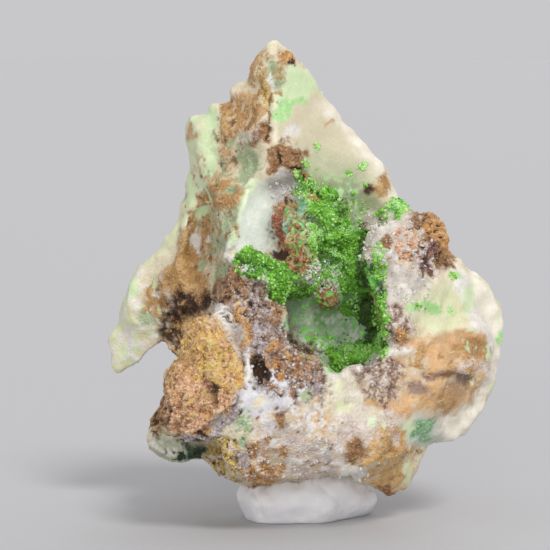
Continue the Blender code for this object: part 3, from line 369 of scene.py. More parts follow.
# Specks strewn in an oval: name, tint, centre, radii, size of the specks in mm, share they cover.
MOTTLES = [
    ("peak_brown", "flank_brown", (-2.8, 43.8), (2.0, 3.4), 0.6, 0.25),
    ("shoulder_light", "pale_tan", (-6.4, 39.8), (2.2, 3.2), 0.9, 0.2),
    ("shoulder_rust", "rust", (-6.2, 39.4), (2.2, 3.4), 0.7, 0.16),
    ("shoulder_sage", "sage", (-6.0, 36.6), (2.0, 3.0), 0.8, 0.22),
    ("flank_brown", "flank_brown", (-8.4, 30.6), (2.4, 5.0), 1.1, 0.3),
    ("flank_white", "pale_tan", (-8.4, 32.0), (2.4, 5.6), 0.8, 0.12),
    ("flank_sage", "sage", (-8.0, 30.4), (2.4, 5.4), 0.8, 0.16),
    ("flank_rust", "rust", (-8.6, 31.0), (2.8, 6.6), 0.7, 0.12),
    ("strip_mint", "mint", (-10.0, 36.4), (1.8, 6.0), 1.2, 0.28),
    ("wing_mint", "mint", (-15.8, 21.0), (2.4, 5.0), 1.4, 0.22),
    ("wing_white", "white", (-15.6, 20.0), (2.8, 6.4), 1.1, 0.28),
    ("ridge_lilac", "lilac", (-4.6, 22.6), (3.4, 2.6), 0.5, 0.3),
    # ridge_dark: dark brown specks, painted shade in the ridge's pits.
    ("ridge_dark", "umber_and_shade", (-4.6, 22.8), (3.6, 2.8), 0.45, 0.16),
    ("lilac_brown", "grey_brown", (-0.6, 16.2), (4.2, 3.8), 0.9, 0.5),
    ("lilac_rust", "nodule", (-0.8, 16.2), (3.6, 3.4), 0.5, 0.2),
    ("lilac_white", "blue_white", (-2.0, 12.8), (3.8, 3.4), 0.9, 0.34),
    ("orange_streak", "soft_ochre", (2.5, 11.2), (0.9, 2.0), 0.7, 0.5),
    # lilac_dark: dark brown specks, painted shade in pits.
    ("lilac_dark", "umber_and_shade", (-1.0, 16.0), (4.4, 5.0), 0.35, 0.06),
    ("lower_white", "white", (1.4, 8.6), (5.5, 4.2), 1.1, 0.28),
    ("lower_glass", "glass", (1.0, 9.0), (4.8, 3.6), 0.8, 0.12),
    ("lower_tan", "pale_tan", (0.4, 8.0), (5.8, 4.4), 0.9, 0.24),
    ("lower_specks", "rust", (-0.2, 8.8), (5.4, 4.4), 0.3, 0.03),
    ("streak_green", "sea_green", (-5.2, 10.2), (0.7, 2.0), 0.3, 0.5),
    ("foot_mint", "mint", (8.4, 10.6), (1.1, 0.7), 0.9, 0.5),
    ("foot_mint_upper", "strip", (4.7, 13.4), (1.4, 1.8), 1.0, 0.4),
    ("foot_pink", "pink_white", (7.6, 10.0), (4.0, 2.0), 1.0, 0.4),
    ("face_green", "sage", (1.0, 13.0), (1.0, 1.0), 0.4, 0.5),
    # left_foot_dark: dark brown specks, painted shade on the dim lower-left foot.
    ("left_foot_dark", "umber_and_shade", (-14.2, 12.0), (1.6, 2.8), 0.6, 0.35),
    # foot_lump_dark: dark green specks, partly painted shade in the lump's middle.
    ("foot_lump_dark", "dark_foot", (-11.6, 7.6), (1.4, 2.0), 0.7, 0.35),
    # foot_lump_white: pale crust specks, partly a painted highlight on the lump's left edge.
    ("foot_lump_white", "white", (-13.6, 7.6), (1.2, 2.2), 0.7, 0.3),
    ("recess_brown", "rust", (-11.6, 22.0), (3.4, 2.4), 0.8, 0.2),
    ("lobe_bright", "soft_ochre", (-9.4, 15.6), (4.4, 5.4), 0.6, 0.26),
    ("lobe_pink", "pink_ochre", (-9.4, 16.4), (4.4, 4.6), 0.9, 0.24),
    ("lobe_rust", "rust", (-9.6, 13.2), (4.4, 5.0), 0.45, 0.12),
    ("lobe_dark", "rust", (-9.5, 14.8), (4.8, 6.0), 0.32, 0.06),
    ("foot_pale", "pink_white", (-5.6, 6.6), (3.0, 2.6), 0.7, 0.2),
    # olive_dark: dark brown specks, painted shade in pits.
    ("olive_dark", "umber_and_shade", (-6.6, 6.6), (3.6, 2.6), 0.32, 0.08),
    ("block_light", "light_orange", (14.4, 15.6), (4.4, 4.0), 1.9, 0.26),
    ("block_brown", "flank_brown", (14.2, 15.4), (4.4, 4.2), 1.3, 0.18),
    ("block_pink", "pink_white", (8.2, 15.0), (2.8, 2.8), 0.5, 0.2),
    ("block_cream", "pale_tan", (12.8, 14.4), (6.4, 4.6), 1.3, 0.12),
    # cap_dark: dark brown specks, painted shade in the cap's pits.
    ("cap_dark", "umber_and_shade", (13.4, 28.8), (2.6, 3.0), 0.45, 0.14),
    ("cap_pink", "pink_white", (11.4, 28.2), (2.0, 3.0), 0.6, 0.3),
    ("knob_pink", "pink_ochre", (8.6, 28.0), (2.0, 3.6), 0.7, 0.12),
    ("knob_glass", "glass", (9.6, 26.4), (3.4, 4.6), 0.6, 0.16),
    ("nodule_light", "orange", (-0.2, 28.4), (2.4, 4.4), 0.45, 0.24),
    # nodule_dark: dark brown specks, painted shade in the clefts between nodules.
    ("nodule_dark", "umber_and_shade", (-0.2, 28.6), (2.5, 4.6), 0.4, 0.18),
    ("nodule_mint", "teal", (0.4, 30.6), (1.6, 2.2), 0.4, 0.2),
    ("nodule_green", "green", (0.8, 28.6), (2.2, 4.6), 0.4, 0.12),
    ("band_glass", "vug_glass", (3.8, 29.8), (3.2, 5.0), 0.7, 0.28),
    ("band_mint", "bright_mint", (3.4, 31.0), (3.4, 4.4), 0.6, 0.24),
    ("hollow_pearl", "pearl", (3.2, 19.2), (3.4, 2.6), 1.3, 0.14),
    ("hollow_green", "lime", (3.4, 20.4), (4.0, 4.4), 0.45, 0.13),
    ("beside_vug", "pink_white", (10.0, 20.4), (2.0, 2.4), 0.5, 0.26),
    ("rim_mint", "mint", (18.4, 21.0), (2.0, 4.6), 1.2, 0.1),
    ("rim_cream", "strip", (18.6, 12.0), (1.9, 4.0), 1.5, 0.14),
    ("toe_white", "pale_tan", (9.2, 5.8), (2.8, 3.2), 0.8, 0.26),
    ("toe_rust", "flank_brown", (9.2, 6.0), (2.8, 4.2), 0.9, 0.14),
]

# How far a tint's patches stand out of the rock around them, in mm.
LIFTS = {
    "flank_brown": 0.22, "rust": 0.12, "orange": 0.12, "nodule": 0.2, "purple": 0.1, "lilac": 0.05,
    "white": 0.06, "pink_white": 0.06, "sugar": 0.12, "green": 0.1, "umber_and_shade": -0.22, "glass": -0.12,
    "olive_milk_and_shade": -0.1, "deep_green_and_shade": -0.15, "mauve": -0.1, "sage": -0.08, "teal": 0.1,
}

# Where the hollow's unseen faces are glassy and green too: centre and radii in the part's frame.
HOLLOW_INSIDE = [((3.5, -8.0, 20.5), (5.5, 5.0, 6.0)), ((4.5, -6.5, 29.0), (4.5, 5.0, 6.0))]

# How high the broad lumps of the far side are, in mm.
FAR_BREAKS = 0.8

# Uneven edges of the patches: how far they are shifted, in steps of which size, both in mm.
EDGE_SHIFTS = ((0.75, 2.2), (0.42, 0.8), (0.24, 0.3))

# Where the rock's edge is moved to the photograph's: name, centre (across, up), radius, shift, in mm.
NUDGES = [
    ("shoulder_edge", (-11.6, 34.4), 3.2, (0.95, 0.0)),
    ("wing_edge", (-13.4, 29.4), 2.8, (0.9, -0.2)),
    ("notch_bump", (-5.8, 43.9), 1.0, (-0.7, 0.2)),
    ("shoulder_bump", (-8.0, 42.3), 0.9, (-0.5, 0.4)),
    ("crest_edge", (4.0, 41.0), 1.8, (0.6, 0.1)),
    ("knob_edge", (15.0, 30.4), 1.5, (-0.5, 0.0)),
    ("rim_top", (18.0, 25.9), 1.8, (-0.5, -0.1)),
    ("rim_side", (20.4, 20.4), 2.4, (0.5, 0.0)),
    ("rim_foot", (14.6, 8.9), 1.2, (0.6, -0.4)),
    ("wing_side", (-18.4, 18.0), 1.5, (-0.6, 0.0)),
    ("wing_tip", (-17.9, 15.6), 1.2, (-0.5, -0.3)),
    ("arch", (-13.8, 17.8), 1.5, (0.1, 0.75)),
    ("left_foot_top", (-14.6, 13.0), 1.3, (0.8, 0.0)),
    ("left_foot", (-14.3, 9.2), 1.8, (-0.9, 0.0)),
    ("lower_left", (-8.7, 5.5), 1.2, (0.4, 0.0)),
]

# Relief along strokes of the seen side: name, height (below zero is a groove), half width, points.
RELIEF = [
    ("front_lip", 0.3, 0.35, [(-6.5, 26.7), (-5.1, 25.3), (-3.0, 24.5), (-2.5, 23.6), (-1.2, 22.7),
     (-1.3, 20.2), (-0.1, 18.7), (1.9, 17.7), (2.2, 16.7), (3.4, 15.1)]),
    ("vug_lip", 0.35, 0.45, [(4.9, 15.5), (6.9, 16.5), (8.9, 17.4), (11.2, 17.7)]),
    ("slot_rim", 0.3, 0.3, [(-4.9, 14.8), (-4.6, 15.7), (-4.2, 16.6)]),
    ("rim_ridge", 0.5, 0.9, [(15.4, 25.6), (17.2, 22.2), (19.0, 18.2), (18.8, 15.2)]),
    ("block_crack", -0.3, 0.2, [(9.7, 15.2), (9.4, 12.7), (9.2, 11.5)]),
    ("block_ledge", -0.4, 0.3, [(12.8, 15.3), (15.4, 15.0), (17.4, 14.8)]),
    ("crest_line", -0.4, 0.3, [(-2.2, 44.0), (-2.3, 41.7), (-2.7, 38.8)]),
    ("lobe_seam", -0.5, 0.35, [(-6.4, 22.0), (-5.9, 19.7), (-5.4, 17.7), (-5.1, 14.7), (-5.7, 12.4),
     (-6.8, 11.2), (-8.4, 10.2), (-9.8, 9.4)]),
    ("orange_seam", -0.3, 0.25, [(-4.6, 22.4), (-4.4, 20.2), (-4.6, 18.2)]),
    ("lobe_groove", -0.4, 0.35, [(-9.4, 15.0), (-8.6, 13.5), (-8.1, 12.2)]),
    ("lens_edge", 0.25, 0.3, [(-4.6, 34.6), (-5.2, 32.2), (-6.1, 29.9), (-6.8, 28.2)]),
]

# Where quartz points stand on the seen side: name, centre, radii, how thickly. Then how thickly on the
# far side's milky rock, how many in all, and their radii in mm.
QUARTZ_PATCHES = [
    ("knob_edge", (8.0, 28.6), (1.9, 3.2), 0.22),
    ("knob_foot", (11.6, 23.6), (2.2, 1.5), 0.22),
    ("floor_crystals", (3.1, 25.1), (2.2, 1.7), 1.0),
    ("lip", (-3.6, 25.8), (2.6, 1.0), 0.4),
    ("beside_vug", (10.2, 20.2), (1.7, 1.9), 0.07),
    ("under_crest", (-1.0, 33.6), (1.8, 0.9), 0.5),
    ("lens_foot", (-4.2, 27.4), (1.8, 0.7), 0.5),
    ("lilac_face", (-1.0, 16.2), (3.4, 3.6), 0.09),
    ("lower_middle", (0.2, 8.6), (4.6, 3.8), 0.08),
    ("foot_white", (5.8, 5.3), (1.5, 0.8), 0.12),
    ("cap", (12.8, 27.0), (1.4, 2.0), 0.16),
]
FAR_QUARTZ = 0.06
QUARTZ_COUNT = 900
QUARTZ_RADII = (0.06, 0.17)

# Where green clusters stand on the rock beside the bed: name, centre, radii, how thickly.
GREEN_PATCHES = [
    ("band_top", (1.7, 33.3), (2.1, 1.2), 0.4),
    ("band", (3.3, 29.4), (2.1, 3.8), 1.0),
    ("wall_foot", (5.8, 31.4), (1.4, 2.0), 0.15),
    ("band_foot", (6.5, 24.6), (1.5, 2.4), 0.8),
    ("cleft", (8.2, 25.0), (0.9, 3.6), 0.8),
    ("cleft_foot", (8.2, 20.6), (1.2, 2.2), 1.0),
    ("vug_foot", (6.2, 17.5), (3.4, 0.8), 1.0),
    ("vug_floor", (3.4, 18.6), (2.2, 1.3), 0.12),
    ("lip", (-3.8, 25.7), (2.4, 0.7), 0.4),
    ("lip_foot", (-1.8, 24.2), (1.2, 0.9), 0.6),
    ("nodule_foot", (1.2, 25.0), (2.4, 0.6), 0.7),
    ("edge", (10.0, 32.0), (1.1, 0.7), 1.0),
    ("under_edge", (9.0, 31.2), (1.2, 0.6), 0.4),
    ("wall_speck_high", (2.1, 38.0), (0.28, 0.28), 1.0),
    ("wall_speck_left", (0.9, 36.3), (0.4, 0.35), 1.0),
    ("wall_speck_low", (0.0, 35.4), (0.35, 0.35), 1.0),
    ("wall_speck_middle", (5.0, 36.6), (0.25, 0.25), 1.0),
    ("wall_speck_right", (6.7, 36.1), (0.5, 0.45), 1.0),
    ("wall_speck_lower", (5.4, 35.2), (0.38, 0.35), 1.0),
    ("wall_speck_edge", (6.9, 34.3), (0.35, 0.3), 1.0),
    ("rim_speck", (15.6, 25.0), (0.35, 0.35), 1.0),
    ("rim_speck_low", (15.6, 21.5), (0.25, 0.25), 1.0),
    ("under_knob", (12.8, 21.8), (1.1, 0.4), 0.12),
]
# Where the green is darker (below zero) or lighter: name, centre, radii, by how much.
GREEN_SHADES = [
    # cleft and cleft_foot: darker green as painted shade in the cleft.
    ("cleft", (6.9, 25.2), (0.8, 4.6), -0.9),
    ("cleft_foot", (6.9, 20.8), (0.8, 2.6), -0.8),
    ("pale_mint", (0.8, 31.2), (1.0, 1.4), 0.7),
    ("band_middle", (3.0, 30.0), (1.6, 2.4), 0.3),
    ("lip", (-4.0, 26.0), (2.8, 1.4), -0.1),
    ("vug_foot", (6.6, 17.4), (3.6, 0.8), 0.35),
    ("edge", (10.2, 31.8), (1.4, 1.0), 0.5),
    ("wall_flecks", (4.0, 36.6), (4.0, 2.6), 0.4),
]

# How many round clusters and single crystals stand on the bed and on the rock, and their radii in mm.
BALLS = (350, 500)
BALL_RADII = (0.1, 0.25)
CRYSTALS = (4700, 5000)
CRYSTAL_RADII = (0.06, 0.18)

# The greens from deep to lime in linear light, and between which tones each turns into the next.
GREENS = (
    (0.045, 0.1, 0.015, 1.0),
    (0.13, 0.36, 0.03, 1.0),
    (0.24, 0.6, 0.05, 1.0),
    (0.52, 0.82, 0.3, 1.0),
)
GREEN_TURNS = ((-0.3, 0.1), (0.1, 0.5), (0.5, 0.95))

# The green bed keeps this share of its thickness above the rock, and what is nearer to the rock than
# the next value sinks that far into it. Then its bumps: how wide and how high, all in mm.
BED_STEP = 0.2
BED_SMOOTHING = 2
BED_KEEP = 0.6
BED_SUNK_BELOW = 0.5
BED_SINK = 0.15
BED_BUMPS = (0.55, 0.3)
BED_FINE_BUMPS = (0.3, 0.16)

# Where clear crystals or bare rock show through the green: name, centre, radii.
BARE_PATCHES = [
    ("clear_crystals", (3.1, 25.5), (2.1, 1.5)),
    ("floor_nodule", (2.9, 23.0), (2.0, 1.3)),
    ("hollow_floor", (3.2, 19.6), (3.0, 2.6)),
    ("wall_foot", (6.2, 31.8), (1.8, 2.8)),
    ("band_top", (4.0, 35.6), (4.2, 1.9)),
    ("lip", (-4.6, 26.5), (2.3, 0.9)),
    ("nodules", (-0.1, 28.8), (2.1, 3.8)),
]

# The putty nearer to the rock than this is pressed against it and sinks this far into it, both in mm.
# Its folds are written like the rock's relief.
PUTTY_STEP = 0.22
PUTTY_SMOOTHING = 6
PUTTY_REACH = 0.9
PUTTY_SINK = 0.12
PUTTY_FOLDS = [
    ("fold_left", -0.25, 0.18, [(-4.4, 3.6), (-3.8, 2.6), (-3.6, 1.2)]),
    ("fold_middle", -0.18, 0.2, [(-3.2, 3.9), (-2.4, 3.0), (-2.2, 1.6)]),
    ("fold_right", -0.12, 0.25, [(2.4, 4.2), (3.4, 3.2), (4.6, 2.4)]),
]

# The side away from the camera is a guess in the same colours: tint, patch size in mm, share of the
# surface, how soft the edges are.
FAR_SIDE = [
    ("pale_tan", 9.0, 0.5, 0.3),
    ("tan", 11.0, 0.42, 0.2),
    ("far_ochre", 13.0, 0.4, 0.16),
    ("flank_brown", 8.0, 0.26, 0.16),
    ("rust", 6.0, 0.12, 0.12),
    ("milk", 12.0, 0.12, 0.16),
    ("pink_white", 5.0, 0.08, 0.14),
    ("far_ochre", 3.0, 0.12, 0.1),
    ("mint", 9.0, 0.07, 0.2),
    ("rust", 1.4, 0.05, 0.08),
    ("umber_and_shade", 2.2, 0.025, 0.08),
]


# The plain studio: colours and brightness, then each lamp's name, the way to it, how strong it is, how
# soft, and its colour.
FLOOR_COLOUR = (0.5, 0.5, 0.515, 1.0)
WORLD_COLOUR = (0.8, 0.8, 0.82, 1.0)
WORLD_STRENGTH = 0.72
LAMPS = [
    ("key", (0.3, -0.62, 0.72), 1.6, 0.3, (1.0, 0.985, 0.96)),
    ("low", (-0.15, -0.97, 0.2), 0.85, 0.6, (1.0, 1.0, 1.0)),
    ("back", (0.2, 0.8, 0.55), 0.5, 0.7, (1.0, 1.0, 1.0)),
]


def in_view(places):
    """Where the photograph's camera sees places: mm across and mm up."""
    from_eye = places - EYE
    shrink = VIEW_DISTANCE / -(from_eye @ VIEW_BACK)
    return from_eye[:, 0] * shrink + VIEW_TARGET[0], from_eye @ VIEW_UP * shrink + VIEW_TARGET[2]


def smooth_step(values, low, high):
    """0 below low, 1 above high, and a smooth rise between them."""
    share = np.clip((values - low) / (high - low), 0.0, 1.0)
    return share * share * (3.0 - 2.0 * share)


def from_middle(across, up, centre, radii):
    """How far points are from an oval's middle, 1 on its edge."""
    return np.hypot((across - centre[0]) / radii[0], (up - centre[1]) / radii[1])


def field(places, size, salt=0.0):
    """Smooth noise at places, about -1 to 1, with bumps of about that size."""
    shift = Vector((salt * 7.3, salt * 3.1, salt * 5.7))
    return np.array([noise.noise(Vector(p) / size + shift) for p in places.tolist()])


def cells(places, size, salt=0.0):
    """How far places are from the nearest two seeds of a cell pattern, in cell sizes."""
    shift = Vector((salt * 7.3, salt * 3.1, salt * 5.7))
    found = [noise.voronoi(Vector(p) / size + shift)[0] for p in places.tolist()]
    nearest = np.array(found)[:, :2]
    return nearest[:, 0], nearest[:, 1]


def linear(colour):
    """A colour as the eye reads it, 0 to 255, as linear light."""
    share = np.array(colour) / 255.0
    return np.where(share <= 0.04045, share / 12.92, ((share + 0.055) / 1.055) ** 2.4)


def depth_inside(across, up, outline):
    """How far points are inside an outline, in mm; outside it is negative."""
    inside = np.zeros(len(across), bool)
    nearest = np.full(len(across), 1e9)
    for (x0, y0), (x1, y1) in zip(outline, outline[1:] + outline[:1]):
        slope = (x1 - x0) / (y1 - y0) if y1 != y0 else 0.0
        inside ^= ((y0 > up) != (y1 > up)) & (across < x0 + slope * (up - y0))
        nearest = np.minimum(nearest, distance_to_run(across, up, (x0, y0), (x1, y1)))
    return np.where(inside, nearest, -nearest)


def distance_to_run(across, up, start, end):
    """How far points are from a straight run, in mm."""
    dx, dy = end[0] - start[0], end[1] - start[1]
    along = ((across - start[0]) * dx + (up - start[1]) * dy) / (dx * dx + dy * dy)
    along = np.clip(along, 0.0, 1.0)
    return np.hypot(across - start[0] - along * dx, up - start[1] - along * dy)


def distance_to_stroke(across, up, points):
    """How far points are from a stroke of straight runs, in mm."""
    return np.min([distance_to_run(across, up, a, b) for a, b in zip(points, points[1:])], axis=0)


class Skin:
    """A mesh's points as arrays in millimetres, with what is worked out for each of them."""

    def __init__(self, mesh):
        self.mesh = mesh
        count = len(mesh.vertices)
        flat = np.empty(count * 3, np.float32)
        mesh.vertices.foreach_get("co", flat)
        self.places = flat.reshape(-1, 3).astype(float) / MM
        edges = np.empty(len(mesh.edges) * 2, np.int32)
        mesh.edges.foreach_get("vertices", edges)
        self.edges = edges.reshape(-1, 2)
        self.read_normals()

    def read_normals(self):
        flat = np.empty(len(self.mesh.vertices) * 3, np.float32)
        self.mesh.vertices.foreach_get("normal", flat)
        self.normals = flat.reshape(-1, 3).astype(float)

    def write_places(self):
        self.mesh.vertices.foreach_set("co", (self.places * MM).astype(np.float32).ravel())
        self.mesh.update()
        self.read_normals()

    def triangles(self):
        self.mesh.calc_loop_triangles()
        flat = np.empty(len(self.mesh.loop_triangles) * 3, np.int32)
        self.mesh.loop_triangles.foreach_get("vertices", flat)
        return flat.reshape(-1, 3)

    def spread(self, values, times):
        """Values blurred over the skin, once for each time."""
        ends = np.concatenate([self.edges[:, 0], self.edges[:, 1]])
        starts = np.concatenate([self.edges[:, 1], self.edges[:, 0]])
        links = np.bincount(ends, minlength=len(values))
        for _ in range(times):
            near = np.bincount(ends, weights=values[starts], minlength=len(values))
            values = 0.5 * values + 0.5 * near / links
        return values

    def tree(self):
        return BVHTree.FromPolygons((self.places * MM).tolist(), self.triangles().tolist())


def share_seen(skin):
    """1 where the photograph's camera sees the skin and just round its edges, 0 elsewhere, with a blur."""
    tree = skin.tree()
    eye = Vector(EYE * MM)
    hidden_past = HIDDEN_PAST * MM
    seen = np.zeros(len(skin.places))
    facing = skin.normals @ VIEW_BACK
    for i in np.nonzero(facing > -0.45)[0]:
        place = Vector(skin.places[i] * MM)
        way = place - eye
        hit = tree.ray_cast(eye, way.normalized())
        seen[i] = 1.0 if hit[3] is None or hit[3] > way.length - hidden_past else 0.0
    return skin.spread(seen * smooth_step(facing, -0.45, -0.1), 6)


def add_object(name, data):
    """A new object in the scene, with that mesh, lamp or camera."""
    made = bpy.data.objects.new(name, data)
    bpy.context.scene.collection.objects.link(made)
    return made


def fresh_copy(node, name):
    """A new object with a copy of a CAD node's mesh."""
    return add_object(name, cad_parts[node].data.copy())


def nearest_rock(tree, place):
    """The rock's nearest point to a place, the normal there, and how far off it is, in mm."""
    hit, normal, _, away = tree.find_nearest(Vector(place * MM))
    return np.array(hit) / MM, np.array(normal), away / MM


def settle(obj):
    """Applies the object's modifiers."""
    graph = bpy.context.evaluated_depsgraph_get()
    mesh = bpy.data.meshes.new_from_object(obj.evaluated_get(graph))
    obj.modifiers.clear()
    obj.data = mesh


def refine(obj, step, smoothing):
    """Gives the object an even, fine skin with its coarse faces smoothed."""
    remesh = obj.modifiers.new("Even", "REMESH")
    remesh.mode = "VOXEL"
    remesh.voxel_size = step * MM
    smooth = obj.modifiers.new("Smooth", "SMOOTH")
    smooth.factor = 0.5
    smooth.iterations = smoothing
    settle(obj)


def uneven_shift(places, salt):
    """A shift in mm, in steps of several sizes, that keeps patch edges from running straight."""
    return sum(amount * field(places, size, salt + size) for amount, size in EDGE_SHIFTS)


def specks(places, size, share, salt, soft=0.06):
    """1 in uneven specks that cover this share of the places, 0 between them."""
    level = field(places, size, salt) + 0.5 * field(places, size * 0.4, salt + 0.5)
    level += 0.3 * field(places, size * 0.13, salt + 0.7)
    edge = np.quantile(level, 1.0 - share)
    return smooth_step(level, edge - soft, edge + soft)


def paint(skin, seen):
    """Lays the tints on the skin. Returns arrays: dark, middle, light, grit, swell, milk, lift."""
    ground = TINTS[GROUND_TINT]
    count = len(skin.places)
    layers = [np.tile(linear(c), (count, 1)) for c in ground[:3]]
    layers += [np.full(count, value) for value in ground[3:]]
    layers.append(np.zeros(count))

    def lay(tint, mask):
        look = TINTS[tint]
        for k in range(3):
            layers[k] += mask[:, None] * (linear(look[k]) - layers[k])
        for k in range(3, 6):
            layers[k] += mask * (look[k] - layers[k])
        layers[6] += mask * (LIFTS.get(tint, 0.0) - layers[6])

    for number, (tint, size, share, soft) in enumerate(FAR_SIDE):
        lay(tint, specks(skin.places, size, share, 20 + number, soft) * (1.0 - seen))
    for centre, radii in HOLLOW_INSIDE:
        away = np.linalg.norm((skin.places - centre) / radii, axis=1)
        inside = smooth_step(away, 1.15, 0.85) * (1.0 - seen)
        lay("vug_glass", inside)
        lay("green", inside * specks(skin.places, 1.2, 0.3, 70))

    across, up = in_view(skin.places)
    across = across + uneven_shift(skin.places, 1)
    up = up + uneven_shift(skin.places, 3)
    lay(GROUND_TINT, seen)
    for _, tint, soft, outline in OUTLINES:
        lay(tint, smooth_step(depth_inside(across, up, outline), -soft / 2, soft / 2) * seen)
    for number, (_, tint, centre, radii, size, share) in enumerate(MOTTLES):
        mask = smooth_step(from_middle(across, up, centre, radii), 1.2, 0.8) * seen
        near = mask > 0.0
        mask[near] *= specks(skin.places[near], size, share, 50 + number)
        lay(tint, mask)
    for _, tint, half_width, points in STROKES:
        away = distance_to_stroke(across, up, points)
        lay(tint, smooth_step(away, half_width * 1.4, half_width * 0.5) * seen)
    for _, tint, centre, radii in SPOTS:
        lay(tint, smooth_step(from_middle(across, up, centre, radii), 1.25, 0.75) * seen)
    return layers


def nudge(skin):
    """Moves the skin's edges, as the photograph's camera sees them."""
    across, up = in_view(skin.places)
    for _, centre, radius, shift in NUDGES:
        away = np.hypot(across - centre[0], up - centre[1]) / radius
        share = smooth_step(away, 1.6, 0.2)[:, None]
        skin.places = skin.places + share * (np.array((shift[0], 0.0, 0.0)) + shift[1] * VIEW_UP)
    skin.write_places()


def split_faces(obj, wanted):
    """Splits the faces between the wanted points in four."""
    bm = bmesh.new()
    bm.from_mesh(obj.data)
    edges = [e for e in bm.edges if wanted[e.verts[0].index] and wanted[e.verts[1].index]]
    bmesh.ops.subdivide_edges(bm, edges=edges, cuts=1, use_grid_fill=True)
    bm.to_mesh(obj.data)
    bm.free()


def raise_strokes(height, where, across, up, strokes):
    """Adds ridges and grooves along strokes to the height, in mm."""
    for _, amount, half_width, points in strokes:
        away = distance_to_stroke(across, up, points)
        height += where * amount * np.exp(-((away / half_width) ** 2))


def raise_relief(skin, seen, grit, swell, lift):
    """Moves the skin in and out: grains, scallops, breaks, and the lips and cracks of the seen side."""
    places = skin.places
    near, second = cells(places, 0.72)
    grains = (0.45 - near) * 0.3 + (second - near - 0.3) * 0.14
    near_fine, _ = cells(places, 0.38, 2)
    grains += (0.45 - near_fine) * 0.3
    clods = field(places, 1.8, 5) * 0.5 + field(places, 0.6, 6) * 0.16
    near_round, _ = cells(places, 1.35, 3)
    scallops = (0.4 - near_round) * 0.5
    breaks = np.abs(field(places, 2.8, 7)) * -0.9 + field(places, 1.2, 10) * 0.16
    height = grit * (grains + clods) + swell * scallops + (0.15 + 0.6 * grit) * breaks
    height += skin.spread(lift, 3) + (1.0 - seen) * FAR_BREAKS * field(places, 4.5, 11)
    across, up = in_view(places)
    across = across + 0.25 * field(places, 1.1, 8)
    up = up + 0.25 * field(places, 1.1, 9)
    raise_strokes(height, seen, across, up, RELIEF)
    skin.places = places + skin.normals * height[:, None]
    skin.write_places()
    return height


def set_values(mesh, name, values):
    """Stores one number or one colour for each point of the mesh."""
    if values.ndim == 1:
        attribute = mesh.attributes.new(name, "FLOAT", "POINT")
        attribute.data.foreach_set("value", values.astype(np.float32))
    else:
        attribute = mesh.attributes.new(name, "FLOAT_COLOR", "POINT")
        rgba = np.ones((len(values), 4), np.float32)
        rgba[:, :3] = values
        attribute.data.foreach_set("color", rgba.ravel())


def store_looks(mesh, layers, rise):
    """Stores what the rock's material reads, which is all but the swell and the lift."""
    for name, values in zip(("dark", "middle", "light", "grit", "milk"), layers[:4] + layers[5:6]):
        set_values(mesh, name, values)
    set_values(mesh, "rise", rise)


class Nodes:
    """Adds nodes to a material's tree and links them."""

    def __init__(self, material):
        material.use_nodes = True
        self.tree = material.node_tree
        self.shader = self.tree.nodes["Principled BSDF"]

    def add(self, kind, **settings):
        node = self.tree.nodes.new(kind)
        for name, value in settings.items():
            setattr(node, name, value)
        return node

    def join(self, value, socket):
        """Links an output to a socket, or sets the socket to a plain value."""
        if isinstance(value, bpy.types.NodeSocket):
            self.tree.links.new(value, socket)
        else:
            socket.default_value = value

    def attribute(self, name, output="Fac"):
        return self.add("ShaderNodeAttribute", attribute_name=name).outputs[output]

    def place(self):
        """Coordinates in millimetres, fixed to the part."""
        source = self.add("ShaderNodeTexCoord").outputs["Object"]
        mapping = self.add("ShaderNodeMapping")
        mapping.inputs["Scale"].default_value = (1 / MM,) * 3
        self.join(source, mapping.inputs["Vector"])
        return mapping.outputs["Vector"]

    def noise(self, place, size, detail=3.0, roughness=0.55):
        node = self.add("ShaderNodeTexNoise")
        node.inputs["Scale"].default_value = 1.0 / size
        node.inputs["Detail"].default_value = detail
        node.inputs["Roughness"].default_value = roughness
        self.join(place, node.inputs["Vector"])
        return node.outputs["Fac"]

    def cell(self, place, size):
        node = self.add("ShaderNodeTexVoronoi")
        node.inputs["Scale"].default_value = 1.0 / size
        self.join(place, node.inputs["Vector"])
        return node.outputs["Distance"]

    def maths(self, operation, first, second=0.0, third=0.0):
        node = self.add("ShaderNodeMath", operation=operation)
        for socket, value in zip(node.inputs, (first, second, third)):
            self.join(value, socket)
        return node.outputs[0]

    def rise(self, value, low, high, start=0.0, end=1.0):
        """A smooth rise from start to end as the value goes from low to high."""
        node = self.add("ShaderNodeMapRange", interpolation_type="SMOOTHSTEP")
        for name, number in (("From Min", low), ("From Max", high), ("To Min", start), ("To Max", end)):
            node.inputs[name].default_value = number
        self.join(value, node.inputs["Value"])
        return node.outputs["Result"]

    def mix(self, share, first, second):
        node = self.add("ShaderNodeMix", data_type="RGBA")
        self.join(share, node.inputs["Factor"])
        self.join(first, node.inputs[6])
        self.join(second, node.inputs[7])
        return node.outputs[2]

    def bump(self, height, distance, strength=1.0):
        node = self.add("ShaderNodeBump")
        node.inputs["Distance"].default_value = distance * MM
        self.join(strength, node.inputs["Strength"])
        self.join(height, node.inputs["Height"])
        self.join(node.outputs["Normal"], self.shader.inputs["Normal"])

    def set(self, **values):
        """Sets the shader's sockets; an underscore stands for a space."""
        for name, value in values.items():
            self.join(value, self.shader.inputs[name.replace("_", " ")])


